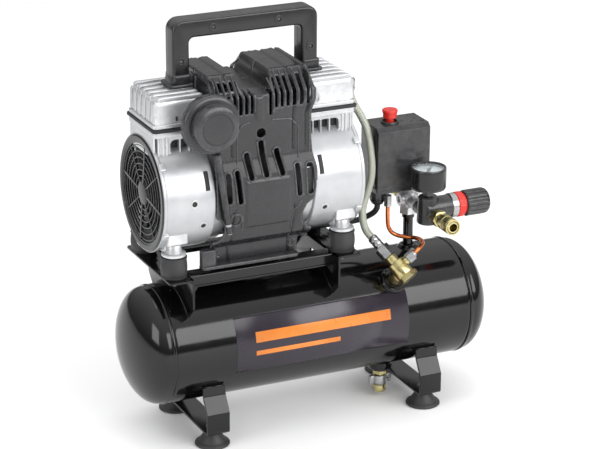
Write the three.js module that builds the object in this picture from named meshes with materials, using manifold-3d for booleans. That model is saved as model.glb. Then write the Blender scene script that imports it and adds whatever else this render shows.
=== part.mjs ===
// A small oil-free air compressor: a twin-cylinder pump on a six-litre horizontal tank.
// Millimetres. X runs along the tank, Y towards the back and Z up, from the floor under its middle.
import * as THREE from 'three';
import { mergeVertices } from 'three/addons/utils/BufferGeometryUtils.js';
import Module from 'manifold-3d';

const wasm = await Module();
wasm.setup();

// Driving dimensions.
const GAP = 0.3; // between pieces that rest on each other
const WELD = 1e-4; // vertices nearer than this are one vertex
const TANK_Y = 16; // the tank's axis stands this far behind the middle of the whole object

const TANK_Z = 112;
const TANK_R = 70;
const TANK_WALL = 2.5;
const BARREL_HALF = 194;
const DOME_DEPTH = 34.4;
const SPIGOT = 8;

const FOOT_X = [-141, 134];
const FOOT_Y = 55.6;
const FOOT_H = 18.2;
const STRIP = 3;
const STRIP_WIDTH = 28;

const SADDLE_TOP = 211;
const SADDLE_SHEET = 2.5;
const BRACKETS = [
  { flange: -166, outer: -195.7, side: -1 },
  { flange: 13.4, outer: 43, side: 1 },
];
const RAIL_Y = 53;

const PUMP_X = -77.2;
const PUMP_Z = 298.7;
const CASE_R = 67;
const CASE_WALL = 4;
const CASE_INNER_END = 46;
const CASE_OUTER_END = 117;
const SPIGOT_R = 60;
const SHROUD_HALF = 60;
const CYLINDER_U = 92.5;
const BORE_R = 24;
const BLOCK_HALF_U = 31.5;
const BLOCK_HALF_Y = 40;
const BLOCK_TOP = 81.3;
const HEAD_BOTTOM = 85.3;
const HEAD_TOP = 121;
const MOUNT_U = 105;
const MOUNT_Y = 46;
const MOUNT_R = 15;
const MOUNT_H = 24.7;
const SHAFT_R = 6;
const CRANK_THROW = 7;
const LOBE_R = 9.5;
const STATOR_R = 60;
const ROTOR_R = 32;
const GRILLE_FACE = 125.4;
const GRILLE_R = 67.5;

const HANDLE_HALF = 88.8;
const HANDLE_POST = 20;
const HANDLE_TOP = 198.3;
const HANDLE_FOOT_Z = 121.6;
const HANDLE_DEPTH = 12;

const FILTER = { x: -146, z: 393, wide: 34, narrow: 26 };

const SWITCH = { x: 118.3, y: -2.5, wide: 69, deep: 45, low: 262, high: 343 };
const KNOB = { x: 108, y: -6.5 };
const PIPE_X = 138.3;
const REGULATOR = { x: 137.8, y: -50, z: 246 };
const BOSS_ANGLE = THREE.MathUtils.degToRad(44.2); // check valve boss, from the top towards the front
const BOSS_X = 94.9;
const DRAIN = { x: 95.5, y: -16 };
const DRAIN_BOSS_R = 14;

// The check valve's three directions: out of the tank, along its body and out of the small side port.
const RADIAL = new THREE.Vector3(0, -Math.sin(BOSS_ANGLE), Math.cos(BOSS_ANGLE));
const ALONG = new THREE.Vector3(0.436, -0.645, -0.628).normalize();
const PORT = new THREE.Vector3(0.78, -0.078, 0.62).normalize();
const VALVE = new THREE.Vector3(BOSS_X, 0, TANK_Z).addScaledVector(RADIAL, TANK_R + 28.4);

// Routes chosen by hand, as points along the middle of each hose, tube and lead.
const HOSE_R = 4.5;
const HOSE_ROUTE = [
  [62, 6, 385.5], [62.4, 5.9, 380], [64, 5, 373.8], [67.9, 2.3, 364.4], [72.5, -1.8, 354.7], [76, -6.3, 344.8],
  [77.8, -10.5, 334.4], [78.4, -14.3, 323.5], [78.6, -17.3, 312.3], [78.7, -19.4, 300.9],
  [78.3, -20.5, 289.5], [76.8, -20.4, 278.2], [74, -19.4, 267.1], [70.6, -18.5, 256.2],
  [67.8, -19.2, 245.2], [66.7, -22.1, 234.6], [67.5, -26.6, 225], [69.3, -30.7, 219.5], [71.9, -34.6, 215.7],
];
const TUBE_R = 2.5;
const TUBE_ROUTE = [
  [103, -15, 244.6], [103.1, -15, 229], [104, -15.5, 217.5], [108, -17.2, 210],
  [114.6, -20.6, 206], [121.6, -25.6, 205], [128.2, -33, 205.6], [131.6, -42.5, 206.4],
  [130.2, -53.5, 206.4], [124.4, -61.6, 206.2], [117.8, -66.4, 204.4], [111.2, -67.5, 199.8],
];
const LEAD_R = 3.5;
const LEAD_ROUTE = [
  [95.5, -2.5, 243.2], [95.3, -2.2, 238], [93, 0.6, 231.8], [87.4, 6.2, 225.8], [79, 11.6, 221],
  [67, 16, 218.2], [50, 18.6, 217.8], [34, 18, 218.6], [18, 16, 219.6], [2, 13, 220.4],
  [-14, 9.4, 221.2], [-27, 6, 224.2], [-35.5, 3.2, 231], [-38.6, 2, 239], [-38.8, 2, 245.6],
];

// ---- Geometry helpers -------------------------------------------------------------------------

// Welds the vertices, drops collapsed triangles and turns the faces outwards.
function closed(geometry) {
  const bare = new THREE.BufferGeometry();
  bare.setAttribute('position', geometry.attributes.position);
  bare.setIndex(geometry.index);
  const merged = mergeVertices(bare, WELD);
  const index = merged.index.array;
  const kept = [];
  for (let i = 0; i < index.length; i += 3) {
    const [a, b, c] = [index[i], index[i + 1], index[i + 2]];
    if (a !== b && b !== c && c !== a) kept.push(a, b, c);
  }
  const at = (i) => new THREE.Vector3().fromBufferAttribute(merged.attributes.position, i);
  let volume = 0;
  for (let i = 0; i < kept.length; i += 3) {
    volume += at(kept[i]).dot(at(kept[i + 1]).cross(at(kept[i + 2])));
  }
  if (volume < 0) kept.reverse();
  merged.setIndex(kept);
  return merged;
}

function solid(geometry) {
  const merged = closed(geometry);
  return new wasm.Manifold(new wasm.Mesh({
    numProp: 3,
    vertProperties: new Float32Array(merged.attributes.position.array),
    triVerts: new Uint32Array(merged.index.array),
  }));
}

function join(...geometries) {
  return geometries.map(solid).reduce((whole, next) => whole.add(next));
}

function cut(body, ...tools) {
  const start = body instanceof wasm.Manifold ? body : solid(body);
  return tools.reduce((rest, tool) => rest.subtract(tool instanceof wasm.Manifold ? tool : solid(tool)), start);
}

function geometryOf(body) {
  const mesh = body.getMesh();
  const geometry = new THREE.BufferGeometry();
  geometry.setAttribute('position', new THREE.BufferAttribute(mesh.vertProperties, 3));
  geometry.setIndex(new THREE.BufferAttribute(mesh.triVerts, 1));
  return geometry;
}

function box(low, high) {
  const size = high.map((value, i) => value - low[i]);
  const middle = high.map((value, i) => (value + low[i]) / 2);
  return new THREE.BoxGeometry(...size).translate(...middle);
}

// A round or many-sided bar between two points, with a radius at each.
function bar(from, to, radius, farRadius = radius, sides = 16) {
  const start = new THREE.Vector3(...from);
  const axis = new THREE.Vector3(...to).sub(start);
  const turn = new THREE.Quaternion().setFromUnitVectors(
    new THREE.Vector3(0, 1, 0), axis.clone().normalize());
  return new THREE.CylinderGeometry(farRadius, radius, axis.length(), sides)
    .translate(0, axis.length() / 2, 0)
    .applyQuaternion(turn)
    .translate(...from);
}

// A bar along a direction, between two distances from a point.
function stub(origin, direction, near, far, radius, sides = 16) {
  const at = (distance) => origin.clone().addScaledVector(direction, distance).toArray();
  return bar(at(near), at(far), radius, radius, sides);
}

// A profile of [radius, height] pairs turned about X, Y or Z.
function turned(profile, axis, sides = 24) {
  const points = profile.map(([radius, height]) => new THREE.Vector2(radius, height));
  const geometry = new THREE.LatheGeometry(points, sides);
  if (axis === 'x') geometry.rotateZ(-Math.PI / 2);
  if (axis === 'z') geometry.rotateX(Math.PI / 2);
  return geometry;
}

const ring = (outer, inner, low, high) =>
  [[outer, low], [outer, high], [inner, high], [inner, low], [outer, low]];

// An outline in Y and Z, carried along X; or in X and Z, carried along Y.
function alongX(outline, from, to) {
  const shape = new THREE.Shape(outline.map(([y, z]) => new THREE.Vector2(y, z)));
  return new THREE.ExtrudeGeometry(shape, { depth: to - from, bevelEnabled: false })
    .applyMatrix4(new THREE.Matrix4().makeBasis(
      new THREE.Vector3(0, 1, 0), new THREE.Vector3(0, 0, 1), new THREE.Vector3(1, 0, 0)))
    .translate(from, 0, 0);
}

function alongY(outline, from, to) {
  const shape = new THREE.Shape(outline.map(([x, z]) => new THREE.Vector2(x, z)));
  return new THREE.ExtrudeGeometry(shape, { depth: to - from, bevelEnabled: false })
    .rotateX(Math.PI / 2)
    .translate(0, to, 0);
}

// The outline of a strip: a line of points, and the same line offset to its left by the thickness.
function strip(line, thickness) {
  const points = line.map(([a, b]) => new THREE.Vector2(a, b));
  const normals = points.slice(1).map((point, i) => {
    const along = point.clone().sub(points[i]).normalize();
    return new THREE.Vector2(-along.y, along.x);
  });
  const offset = points.map((point, i) => {
    const before = normals[Math.max(i - 1, 0)];
    const after = normals[Math.min(i, normals.length - 1)];
    const mitre = before.clone().add(after).normalize();
    return point.clone().addScaledVector(mitre, thickness / mitre.dot(after));
  });
  return [...points, ...offset.reverse()].map((point) => [point.x, point.y]);
}

// A round section carried along a smooth curve through the points.
function tube(route, radius, sides = 8) {
  const curve = new THREE.CatmullRomCurve3(route.map((point) => new THREE.Vector3(...point)));
  const section = new THREE.Shape();
  section.absarc(0, 0, radius, 0, 2 * Math.PI);
  const steps = Math.round(curve.getLength() / (5 * radius));
  const outline = new THREE.Shape(section.getSpacedPoints(sides).slice(0, sides));
  return new THREE.ExtrudeGeometry(outline, { steps, bevelEnabled: false, extrudePath: curve });
}

// ---- Finishes ---------------------------------------------------------------------------------

const FINISHES = {
  tankPaint: { color: 0x15151a, roughness: 0.22, metalness: 0 },
  steelPaint: { color: 0x121214, roughness: 0.3, metalness: 0 },
  rubber: { color: 0x3c3c3e, roughness: 0.85, metalness: 0 },
  casting: { color: 0xc4c6c9, roughness: 0.42, metalness: 0.75 },
  gasket: { color: 0x2a2a2c, roughness: 0.8, metalness: 0 },
  shroud: { color: 0x2c2c2e, roughness: 0.55, metalness: 0 },
  blackPlastic: { color: 0x222224, roughness: 0.5, metalness: 0 },
  steel: { color: 0xb8babd, roughness: 0.3, metalness: 1 },
  laminations: { color: 0x6a6a6c, roughness: 0.5, metalness: 0.8 },
  braid: { color: 0xa9aca6, roughness: 0.45, metalness: 0.7 },
  brass: { color: 0xc9b878, roughness: 0.3, metalness: 0.95 },
  copper: { color: 0xc6673a, roughness: 0.3, metalness: 0.95 },
  red: { color: 0xd8362a, roughness: 0.4, metalness: 0 },
  lens: { color: 0xe8f2f6, roughness: 0.08, metalness: 0 },
  needle: { color: 0x101010, roughness: 0.5, metalness: 0 },
};

function piece(name, body, finish) {
  const geometry = body instanceof wasm.Manifold ? geometryOf(body) : closed(body);
  geometry.computeVertexNormals();
  const mesh = new THREE.Mesh(geometry, new THREE.MeshStandardMaterial(FINISHES[finish]));
  mesh.name = name;
  return mesh;
}

function group(x, y, z, ...meshes) {
  const holder = new THREE.Group();
  holder.position.set(x, y, z);
  holder.add(...meshes);
  return holder;
}

// ---- Tank -------------------------------------------------------------------------------------

// The barrel is an open tube with three welded bosses: check valve, stand pipe and drain.
function tankBarrel() {
  const bosses = [
    { at: new THREE.Vector3(BOSS_X, 0, 0), way: RADIAL, outer: 15, bore: 7.6, height: 6 },
    { at: new THREE.Vector3(PIPE_X, 0, 0), way: new THREE.Vector3(0, 0, 1), outer: 10, bore: 6.4, height: 4 },
  ];
  let barrel = solid(turned(ring(TANK_R, TANK_R - TANK_WALL, -BARREL_HALF, BARREL_HALF), 'x', 32));
  for (const { at, way, outer, height } of bosses) {
    barrel = barrel.add(solid(stub(at, way, TANK_R - 1.5, TANK_R + height, outer)));
  }
  const drainBoss = bar([DRAIN.x, DRAIN.y, -TANK_R + 4], [DRAIN.x, DRAIN.y, -TANK_R - 6], DRAIN_BOSS_R);
  const inside = bar([-BARREL_HALF, 0, 0], [BARREL_HALF, 0, 0], TANK_R - 1.5, TANK_R - 1.5, 32);
  barrel = barrel.add(cut(drainBoss, inside));
  const bores = bosses.map(({ at, way, bore }) => stub(at, way, TANK_R - 10, TANK_R + 20, bore));
  bores.push(bar([DRAIN.x, DRAIN.y, -TANK_R + 12], [DRAIN.x, DRAIN.y, -TANK_R - 8], 5.4));
  return cut(barrel, ...bores);
}

// A dished end with a spigot that slips into the barrel.
function tankEnd(name, side) {
  const steps = 5;
  const start = BARREL_HALF + GAP;
  const arc = (radius, depth) => Array.from({ length: steps + 1 }, (_, i) => {
    const angle = (i / steps) * (Math.PI / 2);
    return [radius * Math.cos(angle), start + depth * Math.sin(angle)];
  });
  const inner = arc(TANK_R - 2 * TANK_WALL - GAP, DOME_DEPTH - TANK_WALL).reverse();
  const profile = [
    ...arc(TANK_R, DOME_DEPTH).map(([radius, height]) => [Math.max(radius, 0), height]),
    ...inner,
    [TANK_R - 2 * TANK_WALL - GAP, start - SPIGOT],
    [TANK_R - TANK_WALL - GAP, start - SPIGOT],
    [TANK_R - TANK_WALL - GAP, start],
    [TANK_R, start],
  ].map(([radius, height]) => [Math.abs(radius) < WELD ? 0 : radius, side * height]);
  return piece(name, turned(profile, 'x', 32), 'tankPaint');
}

// One bent steel strip carries a front and a rear foot: two welded tabs, sloped legs, upright faces.
function footBracket(name, x) {
  const half = [[62, 73], [63.5, 62], [75, 44.5], [75, FOOT_H + GAP]];
  const mirrored = half.map(([y, z]) => [-y, z]).reverse();
  const outline = strip([...half, ...mirrored].reverse(), STRIP);
  return piece(name, alongX(outline, x - STRIP_WIDTH / 2, x + STRIP_WIDTH / 2), 'steelPaint');
}

function rubberFoot(name) {
  return piece(name, turned([[0, 0], [20.5, 0], [20.5, 2.6], [10, FOOT_H], [0, FOOT_H]], 'z', 24), 'rubber');
}

function feet() {
  const meshes = [];
  for (const [word, x] of [['left', FOOT_X[0]], ['right', FOOT_X[1]]]) {
    meshes.push(footBracket(`foot_bracket_${word}`, x));
    for (const [place, y] of [['front', -FOOT_Y], ['rear', FOOT_Y]]) {
      const foot = rubberFoot(`rubber_foot_${place}_${word}`);
      foot.position.set(x, y, 0);
      meshes.push(foot);
    }
  }
  return meshes;
}

// Two welded L brackets across the tank and two rails between them carry the pump.
function pumpSaddle() {
  const upright = [[-68, SADDLE_TOP], [-68, 176], [-52, 150], [52, 150], [68, 176], [68, SADDLE_TOP]];
  const parts = [];
  for (const { flange, outer, side } of BRACKETS) {
    const inner = flange + side * SADDLE_SHEET;
    parts.push(alongX(upright, Math.min(flange, inner), Math.max(flange, inner)));
    const low = [Math.min(flange, outer), -68, SADDLE_TOP - SADDLE_SHEET];
    parts.push(box(low, [Math.max(flange, outer), 68, SADDLE_TOP]));
  }
  const [left, right] = [BRACKETS[0].flange - 1, BRACKETS[1].flange + 1];
  for (const side of [-1, 1]) {
    const edge = side * RAIL_Y;
    const back = edge - side * 18;
    const face = edge - side * SADDLE_SHEET;
    parts.push(box([left, Math.min(edge, face), SADDLE_TOP - 14], [right, Math.max(edge, face), SADDLE_TOP]));
    parts.push(box([left, Math.min(edge, back), SADDLE_TOP - SADDLE_SHEET],
      [right, Math.max(edge, back), SADDLE_TOP]));
  }
  const tank = bar([-300, 0, TANK_Z], [300, 0, TANK_Z], TANK_R + 2 * GAP, TANK_R + 2 * GAP, 32);
  const slots = BRACKETS.map(({ flange }) => bar([flange - 5, 3, 193], [flange + 5, 3, 193], 4.5));
  return piece('pump_saddle', cut(join(...parts), tank, ...slots), 'steelPaint');
}

function pumpMounts() {
  const meshes = [];
  for (const [word, side] of [['left', -1], ['right', 1]]) {
    for (const [place, y] of [['front', -MOUNT_Y], ['rear', MOUNT_Y]]) {
      const low = SADDLE_TOP + GAP;
      const mount = bar([0, 0, 0], [0, 0, MOUNT_H - GAP], MOUNT_R);
      meshes.push(group(PUMP_X + side * MOUNT_U, y, low, piece(`rubber_mount_${place}_${word}`, mount, 'rubber')));
    }
  }
  return meshes;
}

// ---- Pump, about the middle of its shaft --------------------------------------------------------

// A bar or box written for the right side is mirrored to the left by its sign.
const between = (side, a, b) => (side > 0 ? [a, b] : [-b, -a]);

// A casting: case, inner web with the shaft's hole, cylinder block with its bore, and two legs.
function crankcase(name, side) {
  const axial = (a, b, radius, sides = 32) => {
    const [from, to] = between(side, a, b);
    return bar([from, 0, 0], [to, 0, 0], radius, radius, sides);
  };
  const across = (a, b, low, high, halfY) => {
    const [from, to] = between(side, a, b);
    return box([from, -halfY, low], [to, halfY, high]);
  };
  const legs = [-1, 1].map((way) => {
    const [from, to] = between(side, MOUNT_U - 13, CASE_OUTER_END);
    const [near, far] = way < 0 ? [-MOUNT_Y - 13, -MOUNT_Y + 13] : [MOUNT_Y - 13, MOUNT_Y + 13];
    return box([from, near, SADDLE_TOP + MOUNT_H + 2 * GAP - PUMP_Z], [to, far, -34]);
  });
  const body = join(
    axial(CASE_INNER_END, SHROUD_HALF + 1.2, SPIGOT_R - 0.5),
    axial(SHROUD_HALF + 1, CASE_OUTER_END, CASE_R),
    across(CYLINDER_U - BLOCK_HALF_U, CASE_OUTER_END, 40, BLOCK_TOP, BLOCK_HALF_Y - 2),
    across(CYLINDER_U - BLOCK_HALF_U, CYLINDER_U + BLOCK_HALF_U, 72, BLOCK_TOP, BLOCK_HALF_Y),
    ...legs);
  const u = side * CYLINDER_U;
  return piece(name, cut(body,
    axial(CASE_INNER_END + 5, CASE_OUTER_END + 1, CASE_R - CASE_WALL - 6),
    axial(SHROUD_HALF + 6, CASE_OUTER_END + 1, CASE_R - CASE_WALL),
    axial(CASE_INNER_END - 1, CASE_INNER_END + 8, SHAFT_R + 0.4, 16),
    bar([u, 0, 30], [u, 0, BLOCK_TOP + 1], BORE_R, BORE_R, 24)), 'casting');
}

function valvePlate(name, side) {
  const [from, to] = between(side, CYLINDER_U - BLOCK_HALF_U - 0.4, CYLINDER_U + BLOCK_HALF_U + 1.5);
  const plate = box([from, -BLOCK_HALF_Y - 2, BLOCK_TOP + GAP], [to, BLOCK_HALF_Y + 2, HEAD_BOTTOM - GAP]);
  const ports = [-11, 11].map((y) => bar(
    [side * CYLINDER_U, y, BLOCK_TOP - 1], [side * CYLINDER_U, y, HEAD_BOTTOM + 1], 4, 4, 16));
  return piece(name, cut(plate, ...ports), 'gasket');
}

// The head has an inlet and an outlet chamber, open below, and cooling fins along its top.
function cylinderHead(name, side) {
  const [from, to] = between(side, CYLINDER_U - BLOCK_HALF_U, CYLINDER_U + BLOCK_HALF_U);
  const roof = HEAD_TOP - 5;
  const fins = [-34, -20.4, -6.8, 6.8, 20.4, 34].map((y) =>
    box([from + 4, y - 3, roof - 1], [to - 4, y + 3, HEAD_TOP]));
  const chambers = [-1, 1].map((way) => box(
    [from + 5, way < 0 ? -35 : 2, HEAD_BOTTOM - 1], [to - 5, way < 0 ? -2 : 35, roof - 9]));
  const body = join(box([from, -BLOCK_HALF_Y, HEAD_BOTTOM], [to, BLOCK_HALF_Y, roof]), ...fins);
  return piece(name, cut(body, ...chambers), 'casting');
}

// An outer ring, a hub and an inner ring joined by eight spokes.
function fanGrille(name, side) {
  const inward = side * (CASE_OUTER_END + GAP);
  const outward = side * GRILLE_FACE;
  const spoke = (angle) => box([-1.6, -60, -1.4], [1.6, 60, 1.4]).rotateX(angle)
    .translate(outward - side * 3.4, 0, 0);
  const plane = (radius, inner, near, far) => turned(ring(radius, inner, near, far), 'x', 24);
  const parts = [
    plane(GRILLE_R, 58, inward, outward),
    plane(40, 37.5, outward - side * 5, outward - side * 1.8),
    bar([outward - side * 5.6, 0, 0], [outward - side * 0.8, 0, 0], 13),
    ...[0, 1, 2, 3].map((i) => spoke((i * Math.PI) / 4 + Math.PI / 8)),
  ];
  return piece(name, join(...parts), 'blackPlastic');
}

function fan(name, side) {
  const middle = side * 109;
  const blades = Array.from({ length: 7 }, (_, i) => box([-4.5, 8, -1], [4.5, 52, 1])
    .rotateY(side * 0.6)
    .translate(0, 0, 0)
    .rotateX((i / 7) * 2 * Math.PI)
    .translate(middle, 0, 0));
  const hub = bar([middle - 5, 0, 0], [middle + 5, 0, 0], 13);
  const bore = bar([middle - 9, 0, 0], [middle + 9, 0, 0], SHAFT_R + GAP);
  return piece(name, cut(join(hub, ...blades), bore), 'blackPlastic');
}

function motorStator() {
  const core = turned(ring(STATOR_R - GAP, ROTOR_R + 0.8, -28, 28), 'x');
  const windings = turned(ring(52, 38, -42, 42), 'x');
  return piece('motor_stator', join(core, windings), 'laminations');
}

// Shaft, rotor core, the two eccentric lobes and their counterweights turn as one piece.
function motorShaft() {
  const parts = [
    bar([-GRILLE_FACE + 10, 0, 0], [GRILLE_FACE - 10, 0, 0], SHAFT_R),
    bar([-26, 0, 0], [26, 0, 0], ROTOR_R, ROTOR_R, 24),
  ];
  for (const side of [-1, 1]) {
    const [near, far] = between(side, CYLINDER_U - 8, CYLINDER_U + 8);
    parts.push(bar([near, 0, -CRANK_THROW], [far, 0, -CRANK_THROW], LOBE_R));
    const [inner, outer] = between(side, CYLINDER_U - 13, CYLINDER_U - 7.5);
    parts.push(bar([inner, 0, 6], [outer, 0, 6], 15));
  }
  return piece('motor_shaft', join(...parts), 'steel');
}

// Piston, cup and connecting rod are one piece; its big end is open round the eccentric.
function piston(name, side) {
  const u = side * CYLINDER_U;
  const bigEnd = turned(ring(28, LOBE_R + 2 * CRANK_THROW + 0.6, -5.5, 5.5), 'x')
    .translate(u, 0, -CRANK_THROW);
  const rod = box([u - 4, -7, 16.5], [u + 4, 7, 61]);
  const crown = bar([u, 0, 60], [u, 0, 66], BORE_R - 2 * GAP, BORE_R - 2 * GAP, 24);
  return piece(name, join(bigEnd, rod, crown), 'steel');
}

// Half of the cover over the motor: a bent wall with louvre slots, cooling slots and a top notch.
function shroudHalf(name, way) {
  const line = [[0.2, 141], [39, 141], [60, 119], [60, 44], [66, 22], [66, -22], [57, -52], [45, -62], [45, -82]];
  const shape = strip(line, -3).map(([y, z]) => [way * y, z]);
  const wall = alongX(shape, -SHROUD_HALF, SHROUD_HALF);
  const slots = [];
  for (const u of [-52, -44, -36, -28, 12, 20, 28, 36, 44, 52]) {
    slots.push(box([u - 1.8, way < 0 ? -70 : 44, 103], [u + 1.8, way < 0 ? -44 : 70, 134]));
  }
  for (const u of [-24, -11, 2]) {
    slots.push(box([u - 2.5, way < 0 ? -75 : 50, 22], [u + 2.5, way < 0 ? -50 : 75, 46]));
  }
  const notch = alongY([[-17, 150], [-5, 122], [5, 122], [13, 150]], -80, 80);
  return piece(name, cut(wall, notch, ...slots), 'shroud');
}

// Half of the carrying handle: two posts with flared feet and the bar between them.
function handleHalf(name, way) {
  const [near, far] = way < 0 ? [-HANDLE_DEPTH, -GAP / 2] : [GAP / 2, HANDLE_DEPTH];
  const inside = HANDLE_HALF - HANDLE_POST;
  const corner = 9;
  const right = [
    [inside - 3, HANDLE_FOOT_Z], [HANDLE_HALF + 4, HANDLE_FOOT_Z], [HANDLE_HALF + 4, HANDLE_FOOT_Z + 6],
    [HANDLE_HALF, HANDLE_FOOT_Z + 12], [HANDLE_HALF, HANDLE_TOP - corner], [HANDLE_HALF - corner, HANDLE_TOP],
  ];
  const left = right.map(([x, z]) => [-x, z]).reverse();
  const under = [[-inside + 3, HANDLE_FOOT_Z], [-inside, HANDLE_FOOT_Z + 8], [-inside, HANDLE_TOP - 21],
    [inside, HANDLE_TOP - 21], [inside, HANDLE_FOOT_Z + 8]];
  return piece(name, alongY([...right, ...left, ...under.slice(1)], near, far), 'blackPlastic');
}

// A short tube joins the outlet chambers of the two heads under the cover.
function headLink() {
  const reach = CYLINDER_U - BLOCK_HALF_U - GAP;
  return piece('head_link_tube', bar([-reach, 20, 98], [reach, 20, 98], 5, 5, 16), 'steel');
}

// The elbow on the right head's end face that the delivery hose leaves, pointing down.
function hoseElbow() {
  const face = CYLINDER_U + BLOCK_HALF_U + GAP;
  const [x, y] = [HOSE_ROUTE[0][0] - PUMP_X, HOSE_ROUTE[0][1]];
  return piece('hose_elbow', join(
    bar([face, y, 97], [x, y, 97], 6, 6, 6),
    bar([x, y, HOSE_ROUTE[0][2] + 2 * GAP - PUMP_Z], [x, y, 103], 5.6, 5.6, 20)), 'steel');
}

function intakeFilter() {
  const neck = bar([0, -BLOCK_HALF_Y - GAP, 0], [0, -62, 0], 8);
  const base = join(neck, bar([0, -61, 0], [0, -76, 0], FILTER.wide, FILTER.wide - 1, 28));
  const cap = bar([0, -76 - GAP, 0], [0, -92, 0], FILTER.narrow, FILTER.narrow - 1, 28);
  return group(FILTER.x, 0, FILTER.z,
    piece('intake_filter_base', base, 'shroud'), piece('intake_filter_cap', cap, 'shroud'));
}

// A slanted breather tube from under the filter to the cover's lower corner.
function breatherTube() {
  const body = bar([-138.4, -71, 357.5], [-124.2, -71, 262], 4, 4, 16);
  return piece('breather_tube', body, 'blackPlastic');
}

function pump() {
  const meshes = [motorStator(), motorShaft(), headLink(), hoseElbow()];
  for (const [word, side] of [['left', -1], ['right', 1]]) {
    meshes.push(
      crankcase(`crankcase_${word}`, side), valvePlate(`valve_plate_${word}`, side),
      cylinderHead(`cylinder_head_${word}`, side), fanGrille(`fan_grille_${word}`, side),
      fan(`cooling_fan_${word}`, side), piston(`piston_${word}`, side));
  }
  for (const [word, way] of [['front', -1], ['rear', 1]]) {
    meshes.push(shroudHalf(`shroud_${word}`, way), handleHalf(`handle_${word}`, way));
  }
  return group(PUMP_X, 0, PUMP_Z, ...meshes);
}

// ---- Pressure switch and its pipework -----------------------------------------------------------

function pressureSwitch() {
  const { x, y, wide, deep, low, high } = SWITCH;
  const outside = box([-wide / 2, -deep / 2, low], [wide / 2, deep / 2, high]);
  const inside = box([-wide / 2 + 2.5, -deep / 2 + 2.5, low - 1], [wide / 2 - 2.5, deep / 2 - 2.5, high - 2.5]);
  const stemHole = bar([KNOB.x - x, KNOB.y - y, high - 5], [KNOB.x - x, KNOB.y - y, high + 5], 5.6);
  const cover = cut(outside, inside, stemHole);
  const [leadX, leadY, leadZ] = LEAD_ROUTE[0];
  const inlet = turned([[0, leadZ + GAP], [7, leadZ + GAP], [9, leadZ + 5], [9, low - GAP],
    [7, low - GAP], [7, low + 4], [0, low + 4]], 'z', 20);
  const base = join(
    box([-wide / 2 + 3, -deep / 2 + 3, low], [wide / 2 - 3, deep / 2 - 3, low + 7]),
    box([-14, -12, low + 6], [30, 12, low + 44]),
    inlet.translate(leadX - x, leadY - y, 0));
  return group(x, y, 0, piece('switch_cover', cover, 'blackPlastic'), piece('switch_base', base, 'blackPlastic'));
}

function onOffKnob() {
  const { high } = SWITCH;
  const body = join(
    turned([[0, 0], [8, 0], [8, 6], [9.2, 10.5], [9.2, 13.5], [0, 13.5]], 'z', 24).translate(0, 0, high + 6.6),
    bar([0, 0, high - 16], [0, 0, high + 7], 5));
  return group(KNOB.x, KNOB.y, 0, piece('on_off_knob', body, 'red'));
}

// The stand pipe rises from the tank to the manifold that carries the switch and the regulator.
function standPipe() {
  const pipe = bar([PIPE_X, 0, TANK_Z + TANK_R - 4], [PIPE_X, 0, 224.7], 6, 6, 20);
  return piece('stand_pipe', pipe, 'steelPaint');
}

function manifold() {
  const body = join(
    bar([PIPE_X, 0, 225], [PIPE_X, 0, 252], 10.5, 10.5, 6),
    bar([PIPE_X - 13, 0, 243], [PIPE_X + 13, 0, 243], 7, 7, 16),
    bar([PIPE_X, 12, 241], [PIPE_X, -26, 241], 7, 7, 16),
    bar([PIPE_X, 0, 251], [PIPE_X, 0, SWITCH.low - GAP], 7, 7, 16));
  return piece('manifold', body, 'casting');
}

// A spring-loaded relief valve at the back of the manifold, with a pull ring.
function safetyValve() {
  const body = cut(
    join(bar([PIPE_X, 12.4, 241], [PIPE_X, 20, 241], 8, 8, 6), bar([PIPE_X, 19, 241], [PIPE_X, 38, 241], 5.5)),
    bar([PIPE_X, 30, 241], [PIPE_X, 39, 241], 2.6));
  const hoop = new THREE.TorusGeometry(6, 1, 6, 14).rotateY(Math.PI / 2).translate(PIPE_X, 47.5, 241);
  const pull = join(bar([PIPE_X, 31, 241], [PIPE_X, 42.4, 241], 2.1, 2.1, 12), hoop);
  return [piece('safety_valve_body', body, 'brass'), piece('safety_valve_ring', pull, 'steel')];
}

function regulator() {
  const body = cut(
    join(
      bar([0, 0, 16], [0, 0, -17], 11.5, 13, 24),
      bar([-6, 0, 0], [27, 0, 0], 13.5),
      bar([0, 23.6, -5], [0, -16, -5], 8, 8, 20)),
    bar([17, 0, 0], [28, 0, 0], 5.6));
  const collar = cut(
    turned([[0, 27.3], [14.5, 27.3], [15.4, 33], [15.4, 46.4], [0, 46.4]], 'x', 24),
    bar([26, 0, 0], [47, 0, 0], 5.6));
  const knob = cut(
    turned([[0, 46.8], [15.6, 46.8], [15.6, 73], [13.4, 77], [0, 77]], 'x', 24),
    bar([45, 0, 0], [72, 0, 0], 5.4));
  return group(REGULATOR.x, REGULATOR.y, REGULATOR.z,
    piece('regulator_body', body, 'blackPlastic'),
    piece('regulator_collar', collar, 'red'),
    piece('regulator_stem', bar([19, 0, 0], [67, 0, 0], 5), 'steel'),
    piece('regulator_knob', knob, 'blackPlastic'));
}

// The gauge lies face up on the regulator: an open case, a needle over the dial and a glass.
function gauge() {
  const case_ = cut(
    join(bar([0, 0, 16.4], [0, 0, 26], 6, 6, 6), bar([0, 0, 25], [0, 0, 52], 21, 21, 28)),
    bar([0, 0, 46.4], [0, 0, 53], 19, 19, 28));
  const needle = join(
    bar([0, 0, 46.8], [0, 0, 48], 2.2, 2.2, 16),
    box([-0.8, 0, 47], [0.8, 14, 47.8]).rotateZ(THREE.MathUtils.degToRad(135)));
  const lens = bar([0, 0, 48.6], [0, 0, 51], 18.5, 18.5, 28);
  return group(REGULATOR.x, REGULATOR.y, REGULATOR.z,
    piece('gauge_case', case_, 'blackPlastic'),
    piece('gauge_needle', needle, 'needle'),
    piece('gauge_lens', lens, 'lens'));
}

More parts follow.
